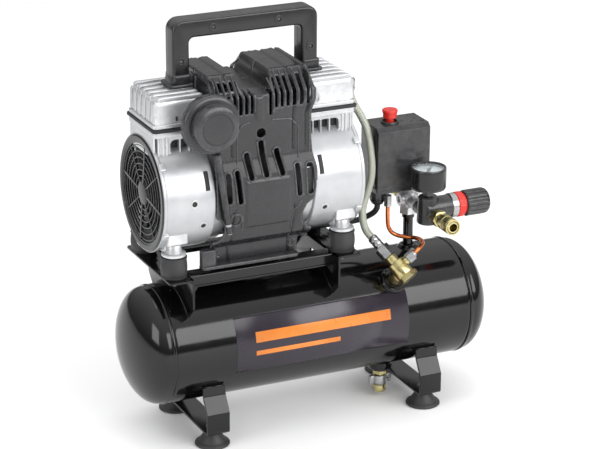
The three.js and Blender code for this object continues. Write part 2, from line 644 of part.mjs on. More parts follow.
// A quick coupler with a bore that takes the air-line plug and a sleeve that pulls back.
function coupler() {
  const bore = bar([0, -30, -5], [0, -62, -5], 4.9);
  const body = cut(join(
    bar([0, -16.3, -5], [0, -28, -5], 9.5, 9.5, 6),
    bar([0, -27, -5], [0, -58, -5], 7.2, 7.2, 24)), bore);
  const sleeve = turned(ring(9.5, 7.6, -57.5, -36), 'y', 24).translate(0, 0, -5);
  const at = REGULATOR;
  return group(at.x + 3, at.y, at.z,
    piece('coupler_body', body, 'brass'), piece('coupler_sleeve', sleeve, 'brass'));
}

function checkValve() {
  const body = join(
    stub(VALVE, RADIAL, -30, -10, 7.2),
    stub(VALVE, RADIAL, -21.8, -6, 9.6),
    stub(VALVE, ALONG, -11, 9, 9.6, 24),
    stub(VALVE, ALONG, 8, 14.6, 10.4, 6),
    stub(VALVE, ALONG, -20, -10, 6.6),
    stub(VALVE.clone().addScaledVector(ALONG, -4.5), PORT, 4, 13, 5.4));
  const nut = join(
    stub(VALVE, ALONG, -36, -20.3, 8.6, 6),
    stub(VALVE, ALONG, -52, -35, 6));
  return [piece('check_valve_body', body, 'brass'), piece('hose_nut', nut, 'steel')];
}

// The small copper tube that vents the head pressure, with a flare nut at each end.
function unloaderTube() {
  const port = VALVE.clone().addScaledVector(ALONG, -4.5);
  const top = TUBE_ROUTE[0];
  const body = join(
    tube(TUBE_ROUTE, TUBE_R, 10),
    bar([top[0], top[1], top[2] - 1.6], [top[0], top[1], SWITCH.low - GAP], 4.6, 4.6, 6),
    stub(port, PORT, 13.3, 25, 5.8, 6));
  return piece('unloader_tube', body, 'copper');
}

function drainValve() {
  const low = TANK_Z - TANK_R;
  const stem = join(
    bar([0, 0, low - 6.3], [0, 0, low - 11], 9, 9, 6),
    bar([0, 0, low - 10], [0, 0, low - 26], 5.6, 5.6, 20),
    bar([0, 0, low - 24.5], [0, 0, low - 34.5], 7.8, 8.2, 20),
    bar([0, 0, low - 6.5], [0, 0, low + 6], 4.9, 4.9, 20));
  const wing = cut(
    join(bar([0, 0, low - 12.5], [0, 0, low - 24], 8.6, 8.6, 20), box([-14, -3, low - 23.5], [14, 3, low - 13])),
    bar([0, 0, low - 12], [0, 0, low - 25], 6),
    bar([11, -5, low - 18], [11, 5, low - 18], 1.8, 1.8, 16));
  return group(DRAIN.x, DRAIN.y, 0, piece('drain_valve_body', stem, 'brass'), piece('drain_wing', wing, 'steel'));
}

// ---- Assembly -----------------------------------------------------------------------------------

const compressor = new THREE.Group();
compressor.position.y = TANK_Y;
compressor.add(
  group(0, 0, TANK_Z,
    piece('tank_barrel', tankBarrel(), 'tankPaint'),
    tankEnd('tank_end_left', -1), tankEnd('tank_end_right', 1)),
  ...feet(), pumpSaddle(), ...pumpMounts(), pump(), intakeFilter(), breatherTube(),
  piece('delivery_hose', tube(HOSE_ROUTE, HOSE_R, 10), 'braid'), ...checkValve(), unloaderTube(),
  standPipe(), manifold(), ...safetyValve(), pressureSwitch(), onOffKnob(),
  piece('motor_lead', tube(LEAD_ROUTE, LEAD_R, 8), 'rubber'),
  regulator(), gauge(), coupler(), drainValve());

export default compressor;
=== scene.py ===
"""A small oil-free air compressor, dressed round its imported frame: the looks of every visible piece.

Shapes are written in millimetres and become metres when a mesh is made. Z is up, X runs along the tank
towards the switch end and Y towards the back.
"""

import bmesh
import bpy
import numpy as np
from mathutils import Matrix, Vector
from mathutils.geometry import tessellate_polygon


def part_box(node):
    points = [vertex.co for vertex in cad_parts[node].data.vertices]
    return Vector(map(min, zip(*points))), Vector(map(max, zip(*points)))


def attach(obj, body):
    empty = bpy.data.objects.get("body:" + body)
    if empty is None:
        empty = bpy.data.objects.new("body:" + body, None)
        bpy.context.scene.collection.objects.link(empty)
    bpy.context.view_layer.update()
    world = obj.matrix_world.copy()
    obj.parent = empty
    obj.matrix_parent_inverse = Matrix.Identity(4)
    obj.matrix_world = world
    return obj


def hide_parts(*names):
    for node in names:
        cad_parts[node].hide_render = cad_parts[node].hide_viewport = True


bl_info = {
    "name": "Air Compressor Dressing",
    "version": (1, 0, 0),
    "blender": (4, 5, 0),
    "location": "View3D > Sidebar > Compressor",
    "description": "Builds the visible pieces of an air compressor round its frame",
    "category": "Object",
}

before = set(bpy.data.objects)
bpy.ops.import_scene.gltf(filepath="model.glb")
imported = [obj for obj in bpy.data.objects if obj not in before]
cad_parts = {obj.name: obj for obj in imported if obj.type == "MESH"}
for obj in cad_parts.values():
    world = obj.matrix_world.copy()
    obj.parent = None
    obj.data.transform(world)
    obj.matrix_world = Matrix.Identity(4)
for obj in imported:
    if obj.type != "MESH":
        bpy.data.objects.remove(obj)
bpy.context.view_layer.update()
MM = 0.001
WELD = 1e-6
FULL = 2 * np.pi


def low(node):
    """Lowest corner of a frame node, in millimetres."""
    return np.array(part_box(node)[0]) / MM


def high(node):
    """Highest corner of a frame node, in millimetres."""
    return np.array(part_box(node)[1]) / MM


def middle(node):
    """Middle of a frame node's box, in millimetres."""
    return (low(node) + high(node)) / 2


# ---- Driving dimensions, from the frame ---------------------------------------------------------

TANK = middle("tank_end_left") * (0, 1, 1)
TANK_R = (high("tank_end_left") - low("tank_end_left"))[2] / 2
TANK_END = high("tank_end_right")[0]
SEAM_X = 194.0
PUMP = middle("motor_stator")
SADDLE_TOP = high("pump_saddle")[2]
CASE_R = 67.0
CYLINDER_U = 92.5
BLOCK_HALF = 31.5
CASE_END = high("crankcase_right")[0] - PUMP[0]
SHROUD_HALF = (high("shroud_front") - low("shroud_front"))[0] / 2
BLOCK_TOP = high("crankcase_right")[2] - PUMP[2]
HEAD_LOW = low("cylinder_head_right")[2] - PUMP[2]
HEAD_HIGH = high("cylinder_head_right")[2] - PUMP[2]
PIPE = middle("stand_pipe")
REGULATOR = middle("regulator_stem") * (0, 1, 1) + (low("gauge_case")[0] + 21, 0, 0)
FRONT, REAR = -1, 1

BOSS_ANGLE = np.radians(44.2)
BOSS_X = 94.9
RADIAL = np.array((0, -np.sin(BOSS_ANGLE), np.cos(BOSS_ANGLE)))
ALONG = np.array((0.436, -0.645, -0.628)) / np.linalg.norm((0.436, -0.645, -0.628))
PORT = np.array((0.78, -0.078, 0.62)) / np.linalg.norm((0.78, -0.078, 0.62))
VALVE = TANK + (BOSS_X, 0, 0) + RADIAL * (TANK_R + 28.4)

# Points along the middles of the hose, the copper tube and the lead, with Y from the tank's axis. The hose's
# come from a fitted smooth curve, and the tube's from measured places at chosen depths.
HOSE_ROUTE = [
    [62, 6, 385.5], [62.4, 5.9, 380], [64, 5, 373.8], [67.9, 2.3, 364.4], [72.5, -1.8, 354.7],
    [76, -6.3, 344.8], [77.8, -10.5, 334.4], [78.4, -14.3, 323.5], [78.6, -17.3, 312.3],
    [78.7, -19.4, 300.9], [78.3, -20.5, 289.5], [76.8, -20.4, 278.2], [74, -19.4, 267.1],
    [70.6, -18.5, 256.2], [67.8, -19.2, 245.2], [66.7, -22.1, 234.6], [67.5, -26.6, 225],
    [69.3, -30.7, 219.5], [71.9, -34.6, 215.7],
]
TUBE_ROUTE = [
    [103, -15, 244.6], [103.1, -15, 229], [104, -15.5, 217.5], [108, -17.2, 210],
    [114.6, -20.6, 206], [121.6, -25.6, 205], [128.2, -33, 205.6], [131.6, -42.5, 206.4],
    [130.2, -53.5, 206.4], [124.4, -61.6, 206.2], [117.8, -66.4, 204.4], [111.2, -67.5, 199.8],
]
LEAD_ROUTE = [
    [95.5, -2.5, 243.2], [95.3, -2.2, 238], [93, 0.6, 231.8], [87.4, 6.2, 225.8], [79, 11.6, 221],
    [67, 16, 218.2], [50, 18.6, 217.8], [34, 18, 218.6], [18, 16, 219.6], [2, 13, 220.4],
    [-14, 9.4, 221.2], [-27, 6, 224.2], [-35.5, 3.2, 231], [-38.6, 2, 239], [-38.8, 2, 245.6],
]


# ---- Shapes: arrays of points with their faces ----------------------------------------------------


def grid(points, wrap=False):
    """Faces of a grid of points: each cell between neighbouring rows and columns is one quad."""
    rows, columns = points.shape[:2]
    r = np.arange(rows - 1)[:, None]
    c = np.arange(columns if wrap else columns - 1)[None, :]
    c2 = (c + 1) % columns
    quads = np.stack([r * columns + c, r * columns + c2, (r + 1) * columns + c2, (r + 1) * columns + c], -1)
    return points.reshape(-1, 3), quads.reshape(-1, 4).tolist()


def lathe(profile, steps=72, ring=False):
    """A profile of (radius, height) turned about Z: each point goes round at its own radius and height."""
    profile = np.array(profile, float)
    if ring:
        profile = np.vstack([profile, profile[:1]])
    angle = np.linspace(0, FULL, steps, endpoint=False)
    radius, height = profile[:, :1], profile[:, 1:]
    points = np.stack([radius * np.cos(angle), radius * np.sin(angle), height + 0 * angle], -1)
    return grid(points, wrap=True)


def rounded(corners, radius, steps=5, closed=True):
    """A line with round corners: each corner becomes an arc that touches its two sides."""
    corners = np.array(corners, float)
    radii = np.broadcast_to(np.array(radius, float), len(corners))
    before, after = np.roll(corners, 1, 0), np.roll(corners, -1, 0)
    line = []
    for corner, back, on, r in zip(corners, before, after, radii):
        a, b = back - corner, on - corner
        la, lb = np.linalg.norm(a), np.linalg.norm(b)
        if r <= 0 or la == 0 or lb == 0:
            line.append(corner[None])
            continue
        a, b = a / la, b / lb
        half = np.arccos(np.clip(a @ b, -1, 1)) / 2
        reach = min(r / np.tan(half), 0.49 * la, 0.49 * lb)
        r = reach * np.tan(half)
        centre = corner + (a + b) / np.linalg.norm(a + b) * (r / np.sin(half))
        start, end = corner + a * reach - centre, corner + b * reach - centre
        sweep = np.arctan2(start[0] * end[1] - start[1] * end[0], start @ end)
        t = np.linspace(0, sweep, steps + 1)[:, None]
        turned = start * np.cos(t) + np.array((-start[1], start[0])) * np.sin(t)
        line.append(centre + turned)
    if not closed:
        line[0], line[-1] = corners[:1], corners[-1:]
    return np.vstack(line)


def area(outline):
    """Signed area of an outline: positive where it runs anticlockwise."""
    x, y = outline.T
    return 0.5 * np.sum(x * np.roll(y, -1) - y * np.roll(x, -1))


def inset(outline, depth):
    """An outline moved inwards: each point goes along the mitre of its two sides."""
    side = np.roll(outline, -1, 0) - outline
    side = side / np.maximum(np.linalg.norm(side, axis=1, keepdims=True), 1e-9)
    normal = np.stack([-side[:, 1], side[:, 0]], 1)
    mitre = normal + np.roll(normal, 1, 0)
    mitre = mitre / np.maximum(np.linalg.norm(mitre, axis=1, keepdims=True), 1e-9)
    cosine = np.maximum(np.sum(mitre * normal, 1, keepdims=True), 0.5)
    return outline + mitre * depth / cosine


def edges(start, end, radius, steps=3):
    """Levels (inset, height) of a slab whose two edges are quarter circles of one radius."""
    t = np.linspace(0, np.pi / 2, steps + 1)
    r = radius
    first = np.stack([r * (1 - np.sin(t)), start + r * (1 - np.cos(t))], 1)
    last = np.stack([r * (1 - np.cos(t)), end - r * (1 - np.sin(t))], 1)
    return np.vstack([first, last])


def slab(outline, levels, holes=()):
    """An outline carried up through levels (inset, height), with flat ends; holes go right through."""
    rings = [np.array(outline, float)] + [np.array(h, float) for h in holes]
    rings = [r if (area(r) > 0) == (i == 0) else r[::-1] for i, r in enumerate(rings)]
    points, faces, count = [], [], 0
    ends = [[], []]
    for ring in rings:
        stack = np.array([np.column_stack([inset(ring, d), np.full(len(ring), h)]) for d, h in levels])
        pts, quads = grid(stack, wrap=True)
        points.append(pts)
        faces += [[i + count for i in q] for q in quads]
        ends[0].append(np.arange(len(ring)) + count)
        ends[1].append(np.arange(len(ring)) + count + len(pts) - len(ring))
        count += len(pts)
    points = np.vstack(points)
    for loops in ends:
        flat = np.concatenate(loops)
        if len(loops) == 1:
            faces.append(flat.tolist())
        else:
            triangles = tessellate_polygon([[Vector(points[i]) for i in loop] for loop in loops])
            faces += [[int(flat[i]) for i in t] for t in triangles]
    return points, faces


def oblong(a0, a1, b0, b1, radius=0.0, steps=5):
    """A rectangle between two pairs of limits, with round corners."""
    return rounded([[a0, b0], [a1, b0], [a1, b1], [a0, b1]], radius, steps)


def block(lo, hi, corner=1.0, edge=0.6, axis="z"):
    """A box between two corners: corner rounds it about the axis, edge rounds its two ends."""
    (x0, y0, z0), (x1, y1, z1) = lo, hi
    limits = {"x": (y0, y1, z0, z1, x0, x1), "y": (x0, x1, z0, z1, y0, y1), "z": (x0, x1, y0, y1, z0, z1)}
    a0, a1, b0, b1, start, end = limits[axis]
    return face(slab(oblong(a0, a1, b0, b1, corner), edges(start, end, edge)), axis)


def face(shape, axis):
    """A shape drawn upright, laid so that its height runs along X or Y and its outline keeps Z upright."""
    order = {"x": [2, 0, 1], "y": [0, 2, 1], "z": [0, 1, 2]}[axis]
    return shape[0][:, order], shape[1]


def circle(radius, steps=32, centre=(0, 0), start=0.0):
    """Points evenly round a circle."""
    t = np.linspace(0, FULL, steps, endpoint=False) + start
    return np.stack([centre[0] + radius * np.cos(t), centre[1] + radius * np.sin(t)], 1)


def hexagon(across, start=0.0):
    """A hexagon of that width across its flats."""
    return circle(across / np.sqrt(3), 6, start=start)


def shift(shape, offset):
    """The shape moved."""
    return shape[0] + np.array(offset, float), shape[1]


def mirror(shape, side):
    """The shape reflected in X where side is -1."""
    return shape[0] * (side, 1, 1), shape[1]


def between(way, near, far):
    """Two distances from the middle, taken to the side of way, in rising order."""
    return sorted((way * near, way * far))


def spin(shape, axis, angle):
    """The shape turned about an axis through the origin."""
    turn = np.array(Matrix.Rotation(angle, 3, axis.upper()))
    return shape[0] @ turn.T, shape[1]


def aim(shape, origin, direction, twist=0.0):
    """The shape stood on a point with its Z along a direction."""
    turn = Vector(direction).to_track_quat("Z", "Y").to_matrix() @ Matrix.Rotation(twist, 3, "Z")
    return shape[0] @ np.array(turn).T + np.array(origin, float), shape[1]


def spline(route, count):
    """A smooth line through the route: each stretch is the Catmull-Rom cubic of its four nearest points."""
    p = np.array(route, float)
    p = np.vstack([2 * p[0] - p[1], p, 2 * p[-1] - p[-2]])
    t = np.linspace(0, len(route) - 1, count)
    i = np.minimum(t.astype(int), len(route) - 2)
    f = (t - i)[:, None]
    a, b, c, d = p[i], p[i + 1], p[i + 2], p[i + 3]
    return 0.5 * (2 * b + (c - a) * f + (2 * a - 5 * b + 4 * c - d) * f**2 + (3 * b - a - 3 * c + d) * f**3)


def pipe(path, radius, sides=20):
    """A round section carried along a path, kept square to it and turned as little as possible."""
    path = np.array(path, float)
    tangent = np.gradient(path, axis=0)
    tangent /= np.linalg.norm(tangent, axis=1, keepdims=True)
    normal = np.cross(tangent[0], (0.3, 0.9, 0.2))
    across = []
    for t in tangent:
        normal = normal - t * (normal @ t)
        normal = normal / np.linalg.norm(normal)
        across.append(normal)
    across = np.array(across)[:, None]
    third = np.cross(tangent[:, None], across)
    angle = np.linspace(0, FULL, sides, endpoint=False)[None, :, None]
    radius = np.broadcast_to(np.array(radius, float), len(path))[:, None, None]
    points = path[:, None] + radius * (across * np.cos(angle) + third * np.sin(angle))
    shape = grid(points, wrap=True)
    last = len(shape[0]) - sides
    shape[1].append(list(range(sides)))
    shape[1].append([last + i for i in range(sides)])
    return shape


def ribbon(line, thickness):
    """The outline of a bent strip: a line, and the same line offset to its right."""
    line = np.array(line, float)
    side = np.gradient(line, axis=0)
    side /= np.linalg.norm(side, axis=1, keepdims=True)
    return np.vstack([line, (line + np.stack([side[:, 1], -side[:, 0]], 1) * thickness)[::-1]])


def nut(across, height, hole=0.0, chamfer=0.8):
    """A hexagon nut with chamfered ends and, where hole is given, the end of its screw."""
    levels = [(chamfer, 0), (0, chamfer * 0.6), (0, height - chamfer * 0.6), (chamfer, height)]
    shapes = [slab(hexagon(across), levels)]
    if hole:
        shapes.append(lathe([(0, height + 2.5), (hole - 0.6, height + 2.5), (hole, height + 1.8), (hole, 1),
                             (0, 1)], 24))
    return shapes


def screw(radius, height=2.4, socket=True):
    """A round screw head with a six-sided recess in its top."""
    r, h = radius, height
    if not socket:
        return [lathe([(0, h), (r * 0.6, h), (r * 0.9, h * 0.75), (r, h * 0.3), (r, 0), (0, 0)], 32)]
    levels = [(0, 0), (0, h - 0.4), (0.4, h)]
    head = slab(circle(r, 30), levels, holes=[hexagon(r * 0.9)])
    return [head, lathe([(0, h * 0.4), (r * 0.8, h * 0.4), (r * 0.8, 0), (0, 0)], 24)]


def smooth(x, start, end):
    """0 before start and 1 after end, with an even slope to each."""
    t = np.clip((x - start) / (end - start), 0, 1)
    return t * t * (3 - 2 * t)


# ---- Meshes -----------------------------------------------------------------------------------------


def build(name, shapes, finish, body="root", origin=(0, 0, 0), replaces=(), sharp=35, uv=None):
    """One piece from its shapes: welded, faces outwards, smooth below the sharp angle, riding on a body."""
    points, faces, count = [], [], 0
    for pts, fcs in shapes:
        points.append(pts)
        faces += [[i + count for i in f] for f in fcs]
        count += len(pts)
    mesh = bpy.data.meshes.new(name)
    mesh.from_pydata(((np.vstack(points) + origin) * MM).tolist(), [], faces)
    if uv is not None:
        layer = mesh.uv_layers.new(name="UVMap")
        corner = np.zeros(len(mesh.loops), int)
        mesh.loops.foreach_get("vertex_index", corner)
        layer.data.foreach_set("uv", uv[corner].astype(np.float32).ravel())
    work = bmesh.new()
    work.from_mesh(mesh)
    bmesh.ops.remove_doubles(work, verts=work.verts, dist=WELD)
    bmesh.ops.dissolve_degenerate(work, edges=work.edges, dist=WELD)
    bmesh.ops.recalc_face_normals(work, faces=work.faces)
    work.to_mesh(mesh)
    work.free()
    mesh.polygons.foreach_set("use_smooth", np.ones(len(mesh.polygons), bool))
    mesh.set_sharp_from_angle(angle=np.radians(sharp))
    mesh.materials.append(finish)
    piece = bpy.data.objects.new(name, mesh)
    bpy.context.scene.collection.objects.link(piece)
    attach(piece, body)
    if replaces:
        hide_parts(*replaces)
    return piece


def solidify(piece, thickness, offset=-1.0):
    """Gives a sheet its thickness in millimetres."""
    wall = piece.modifiers.new("Wall", "SOLIDIFY")
    wall.thickness = thickness * MM
    wall.offset = offset
    return piece


# ---- Materials --------------------------------------------------------------------------------------


def linear(red, green, blue):
    """A linear colour from the 0 to 255 values of a display."""
    c = np.array((red, green, blue)) / 255
    return (*np.where(c <= 0.04045, c / 12.92, ((c + 0.055) / 1.055) ** 2.4), 1.0)


class Nodes:
    """Adds nodes to one material, each from its type, inputs and settings."""

    def __init__(self, name):
        self.material = bpy.data.materials.new(name)
        self.material.use_nodes = True
        self.tree = self.material.node_tree
        self.shader = self.tree.nodes["Principled BSDF"]

    def add(self, kind, inputs=None, **settings):
        node = self.tree.nodes.new(kind)
        for key, value in settings.items():
            setattr(node, key, value)
        for key, value in (inputs or {}).items():
            self.put(node, key, value)
        return node

    def put(self, node, key, value):
        if isinstance(value, bpy.types.NodeSocket):
            self.tree.links.new(value, node.inputs[key])
        else:
            node.inputs[key].default_value = value

    def place(self, scale=(1, 1, 1), uv=False):
        source = self.add("ShaderNodeTexCoord").outputs["UV" if uv else "Object"]
        mapping = self.add("ShaderNodeMapping", {"Vector": source, "Scale": scale})
        return mapping.outputs["Vector"]

    def noise(self, scale, detail=4.0, vector=None, roughness=0.55):
        vector = vector or self.place()
        inputs = {"Vector": vector, "Scale": scale, "Detail": detail, "Roughness": roughness}
        return self.add("ShaderNodeTexNoise", inputs).outputs["Fac"]

    def spread(self, value, a, b, low_in=0.3, high_in=0.7):
        inputs = {"Value": value, "From Min": low_in, "From Max": high_in, "To Min": a, "To Max": b}
        return self.add("ShaderNodeMapRange", inputs).outputs["Result"]

    def mix(self, factor, a, b):
        node = self.add("ShaderNodeMix", data_type="RGBA")
        for key, value in zip((0, 6, 7), (factor, a, b)):
            self.put(node, key, value)
        return node.outputs[2]

    def math(self, operation, a, b=0.0):
        return self.add("ShaderNodeMath", {0: a, 1: b}, operation=operation).outputs[0]

    def bump(self, height, strength, distance, under=None):
        inputs = {"Height": height, "Strength": strength, "Distance": distance * MM}
        if under:
            inputs["Normal"] = under
        return self.add("ShaderNodeBump", inputs).outputs["Normal"]


def surface(name, colour, other, roughness, grain, depth, metallic=0.0, coat=0.0, patch=30.0, edge_highlight=None,
            specular=0.5):
    """Two near colours in soft patches, uneven gloss, fine grain as bump and, if asked, paler convex edges as a
    painted highlight.
    """
    n = Nodes(name)
    patches = n.spread(n.noise(patch, 3.0), 0.0, 1.0)
    colour_out = n.mix(patches, colour, other)
    if edge_highlight:
        # Convex edges, found by pointiness, turn towards a pale colour: a painted highlight along the edges.
        rim = n.add("ShaderNodeNewGeometry").outputs["Pointiness"]
        edge = n.math("MULTIPLY", n.spread(rim, 0.0, 1.0, 0.52, 0.6), n.spread(n.noise(160, 5.0), 0.2, 1.0))
        colour_out = n.mix(edge, colour_out, edge_highlight)
    n.put(n.shader, "Base Color", colour_out)
    n.put(n.shader, "Roughness", n.spread(n.noise(patch * 2.3, 4.0), *roughness))
    n.put(n.shader, "Metallic", metallic)
    n.put(n.shader, "Specular IOR Level", specular)
    n.put(n.shader, "Coat Weight", coat)
    n.put(n.shader, "Coat Roughness", 0.06)
    n.put(n.shader, "Normal", n.bump(n.noise(grain, 5.0), 0.6, depth))
    return n.material


def brushed(name, colour, other, roughness, axis_scale, depth=0.03, metallic=1.0):
    """A drawn or turned metal: fine streaks stretched along one direction."""
    n = Nodes(name)
    streak = n.noise(60.0, 6.0, n.place(axis_scale))
    n.put(n.shader, "Base Color", n.mix(n.spread(streak, 0.0, 1.0), colour, other))
    n.put(n.shader, "Roughness", n.spread(n.noise(90.0, 4.0), *roughness))
    n.put(n.shader, "Metallic", metallic)
    n.put(n.shader, "Normal", n.bump(streak, 0.4, depth))
    return n.material


def braided(name):
    """Wire braid over rubber: two sets of bands wound opposite ways, each passing over and under the other,
    with the low parts of the weave darkened as painted shade.
    """
    n = Nodes(name)
    split = n.add("ShaderNodeSeparateXYZ", {"Vector": n.place(uv=True)})
    along, round_it = split.outputs["X"], split.outputs["Y"]
    strands = [
        n.math("SINE", n.math("MULTIPLY", n.math(sign, along, round_it), FULL))
        for sign in ("ADD", "SUBTRACT")
    ]
    weave = n.math("MAXIMUM", strands[0], strands[1])
    height = n.spread(weave, 0.0, 1.0, 0.0, 1.0)
    # The dark colour goes to the low parts of the weave as painted shade in its hollows; the pale one is the
    # wire's own colour.
    wire_and_shade_colours = linear(84, 89, 77), linear(226, 229, 214)
    n.put(n.shader, "Base Color", n.mix(height, *wire_and_shade_colours))
    n.put(n.shader, "Metallic", 0.25)
    n.put(n.shader, "Roughness", n.spread(n.noise(200.0), 0.3, 0.45))
    n.put(n.shader, "Normal", n.bump(height, 0.8, 0.35))
    return n.material


def clear(name):
    """The gauge's glass: thin and clear, with a faint haze."""
    n = Nodes(name)
    n.put(n.shader, "Base Color", (0.95, 0.98, 1.0, 1.0))
    n.put(n.shader, "Roughness", n.spread(n.noise(400.0), 0.02, 0.05))
    n.put(n.shader, "Transmission Weight", 0.95)
    n.put(n.shader, "IOR", 1.45)
    n.put(n.shader, "Alpha", 0.35)
    return n.material


FINISH = {}


def mix_finishes():
    """Every finish of the object, by its own name."""
    FINISH.update(
        tank_paint=surface("tank_paint", linear(9, 9, 10), linear(12, 12, 13), (0.09, 0.14), 260, 0.015,
                           specular=0.45),
        steel_paint=surface("steel_paint", linear(10, 10, 11), linear(14, 14, 15), (0.12, 0.2), 420, 0.02,
                            specular=0.4),
        rubber=surface("rubber", linear(34, 34, 35), linear(46, 46, 47), (0.45, 0.65), 900, 0.05),
        # The pale edge colours given below are painted highlights on convex edges.
        casting=surface("cast_aluminium", linear(176, 177, 180), linear(192, 193, 195), (0.3, 0.42), 650, 0.06,
                        metallic=0.55, edge_highlight=linear(245, 245, 245)),
        gasket=surface("gasket_black", linear(24, 24, 25), linear(36, 36, 37), (0.5, 0.7), 500, 0.04),
        shroud=surface("shroud_plastic", linear(34, 34, 36), linear(42, 42, 44), (0.22, 0.32), 1500, 0.035,
                       edge_highlight=linear(98, 98, 100)),
        plastic=surface("black_plastic", linear(14, 14, 16), linear(21, 21, 23), (0.18, 0.28), 1400, 0.035,
                        edge_highlight=linear(92, 92, 94)),
        switch=surface("switch_plastic", linear(22, 22, 24), linear(29, 29, 31), (0.22, 0.34), 1300, 0.03,
                       edge_highlight=linear(112, 112, 114)),
        steel=brushed("zinc_steel", linear(158, 158, 160), linear(184, 184, 184), (0.24, 0.38), (1, 1, 6)),
        laminations=brushed("core_laminations", linear(26, 26, 27), linear(40, 40, 40), (0.45, 0.6), (24, 1, 1),
                            metallic=0.3),
        brass=brushed("plated_brass", linear(178, 164, 112), linear(204, 194, 146), (0.18, 0.32), (4, 4, 1)),
        copper=brushed("copper_tube", linear(198, 104, 54), linear(222, 132, 80), (0.2, 0.32), (1, 1, 3)),
        red=surface("red_plastic", linear(200, 34, 26), linear(212, 46, 34), (0.28, 0.4), 1200, 0.02, patch=60),
        cable=surface("cable_jacket", linear(26, 26, 27), linear(34, 34, 35), (0.4, 0.55), 800, 0.03),
        dial=surface("dial_white", linear(226, 234, 236), linear(232, 240, 242), (0.4, 0.5), 300, 0.005),
        ink=surface("dial_ink", linear(28, 30, 32), linear(34, 36, 38), (0.5, 0.6), 300, 0.005),
        sticker=surface("sticker_violet", linear(38, 32, 42), linear(44, 37, 48), (0.2, 0.28), 500, 0.01),
        orange=surface("sticker_orange", linear(216, 122, 44), linear(222, 130, 52), (0.25, 0.32), 500, 0.01),
        braid=braided("wire_braid"),
        glass=clear("gauge_glass"),
    )


# ---- Settings ---------------------------------------------------------------------------------------


class TankSettings(bpy.types.PropertyGroup):
    """Sizes of the tank, its feet and its sticker."""

    sticker_left: bpy.props.FloatProperty(
        name="Sticker left", description="Left edge of the sticker", default=-0.115, unit="LENGTH")
    sticker_right: bpy.props.FloatProperty(
        name="Sticker right", description="Right edge of the sticker", default=0.106, unit="LENGTH")
    sticker_low: bpy.props.FloatProperty(
        name="Sticker low", description="Angle of the lower edge below the tank's front line", default=-0.35,
        subtype="ANGLE")
    sticker_high: bpy.props.FloatProperty(
        name="Sticker high", description="Angle of the upper edge above the tank's front line", default=0.61,
        subtype="ANGLE")
    strip_gauge: bpy.props.FloatProperty(
        name="Strip gauge", description="Thickness of the foot strips", default=0.003, unit="LENGTH")


class PumpSettings(bpy.types.PropertyGroup):
    """Sizes of the pump's castings and of the cover over its motor."""

    head_fins: bpy.props.IntProperty(name="Head fins", description="Ridges on each head", default=6, min=2)
    grille_spokes: bpy.props.IntProperty(name="Grille spokes", description="Spokes of each fan grille",
                                         default=8, min=3)
    grille_rings: bpy.props.IntProperty(name="Grille rings", description="Thin rings of each fan grille",
                                        default=6, min=1)
    cover_wall: bpy.props.FloatProperty(
        name="Cover wall", description="Wall of the motor cover", default=0.0026, unit="LENGTH")
    cover_cell: bpy.props.FloatProperty(
        name="Cover cell", description="Spacing of the cover's surface grid", default=0.0016, unit="LENGTH")


class StageSettings(bpy.types.PropertyGroup):
    """Where the camera stands and how bright the studio is."""

    azimuth: bpy.props.FloatProperty(
        name="Azimuth", description="Turn of the camera round the object", default=np.radians(-25.11),
        subtype="ANGLE")
    elevation: bpy.props.FloatProperty(
        name="Elevation", description="Height angle of the camera", default=np.radians(20.18), subtype="ANGLE")
    roll: bpy.props.FloatProperty(
        name="Roll", description="Tilt of the camera about its own axis", default=np.radians(0.28),
        subtype="ANGLE")
    distance: bpy.props.FloatProperty(
        name="Distance", description="From the camera to its target", default=2.905, unit="LENGTH")
    target: bpy.props.FloatVectorProperty(
        name="Target", description="Point that the camera looks at", default=(-0.0041, 0.016, 0.2309),
        unit="LENGTH")
    lens: bpy.props.FloatProperty(
        name="Lens", description="Focal length in millimetres", default=149.1)
    sky: bpy.props.FloatProperty(
        name="Sky", description="Strength of the even white surroundings", default=0.86)
    key_power: bpy.props.FloatProperty(
        name="Key light", description="Power of the large front softbox in watts", default=40.0)


class CompressorSettings(bpy.types.PropertyGroup):
    """Everything that a user would change."""

    tank: bpy.props.PointerProperty(type=TankSettings)
    pump: bpy.props.PointerProperty(type=PumpSettings)
    stage: bpy.props.PointerProperty(type=StageSettings)


# ---- Stage and cords --------------------------------------------------------------------------------


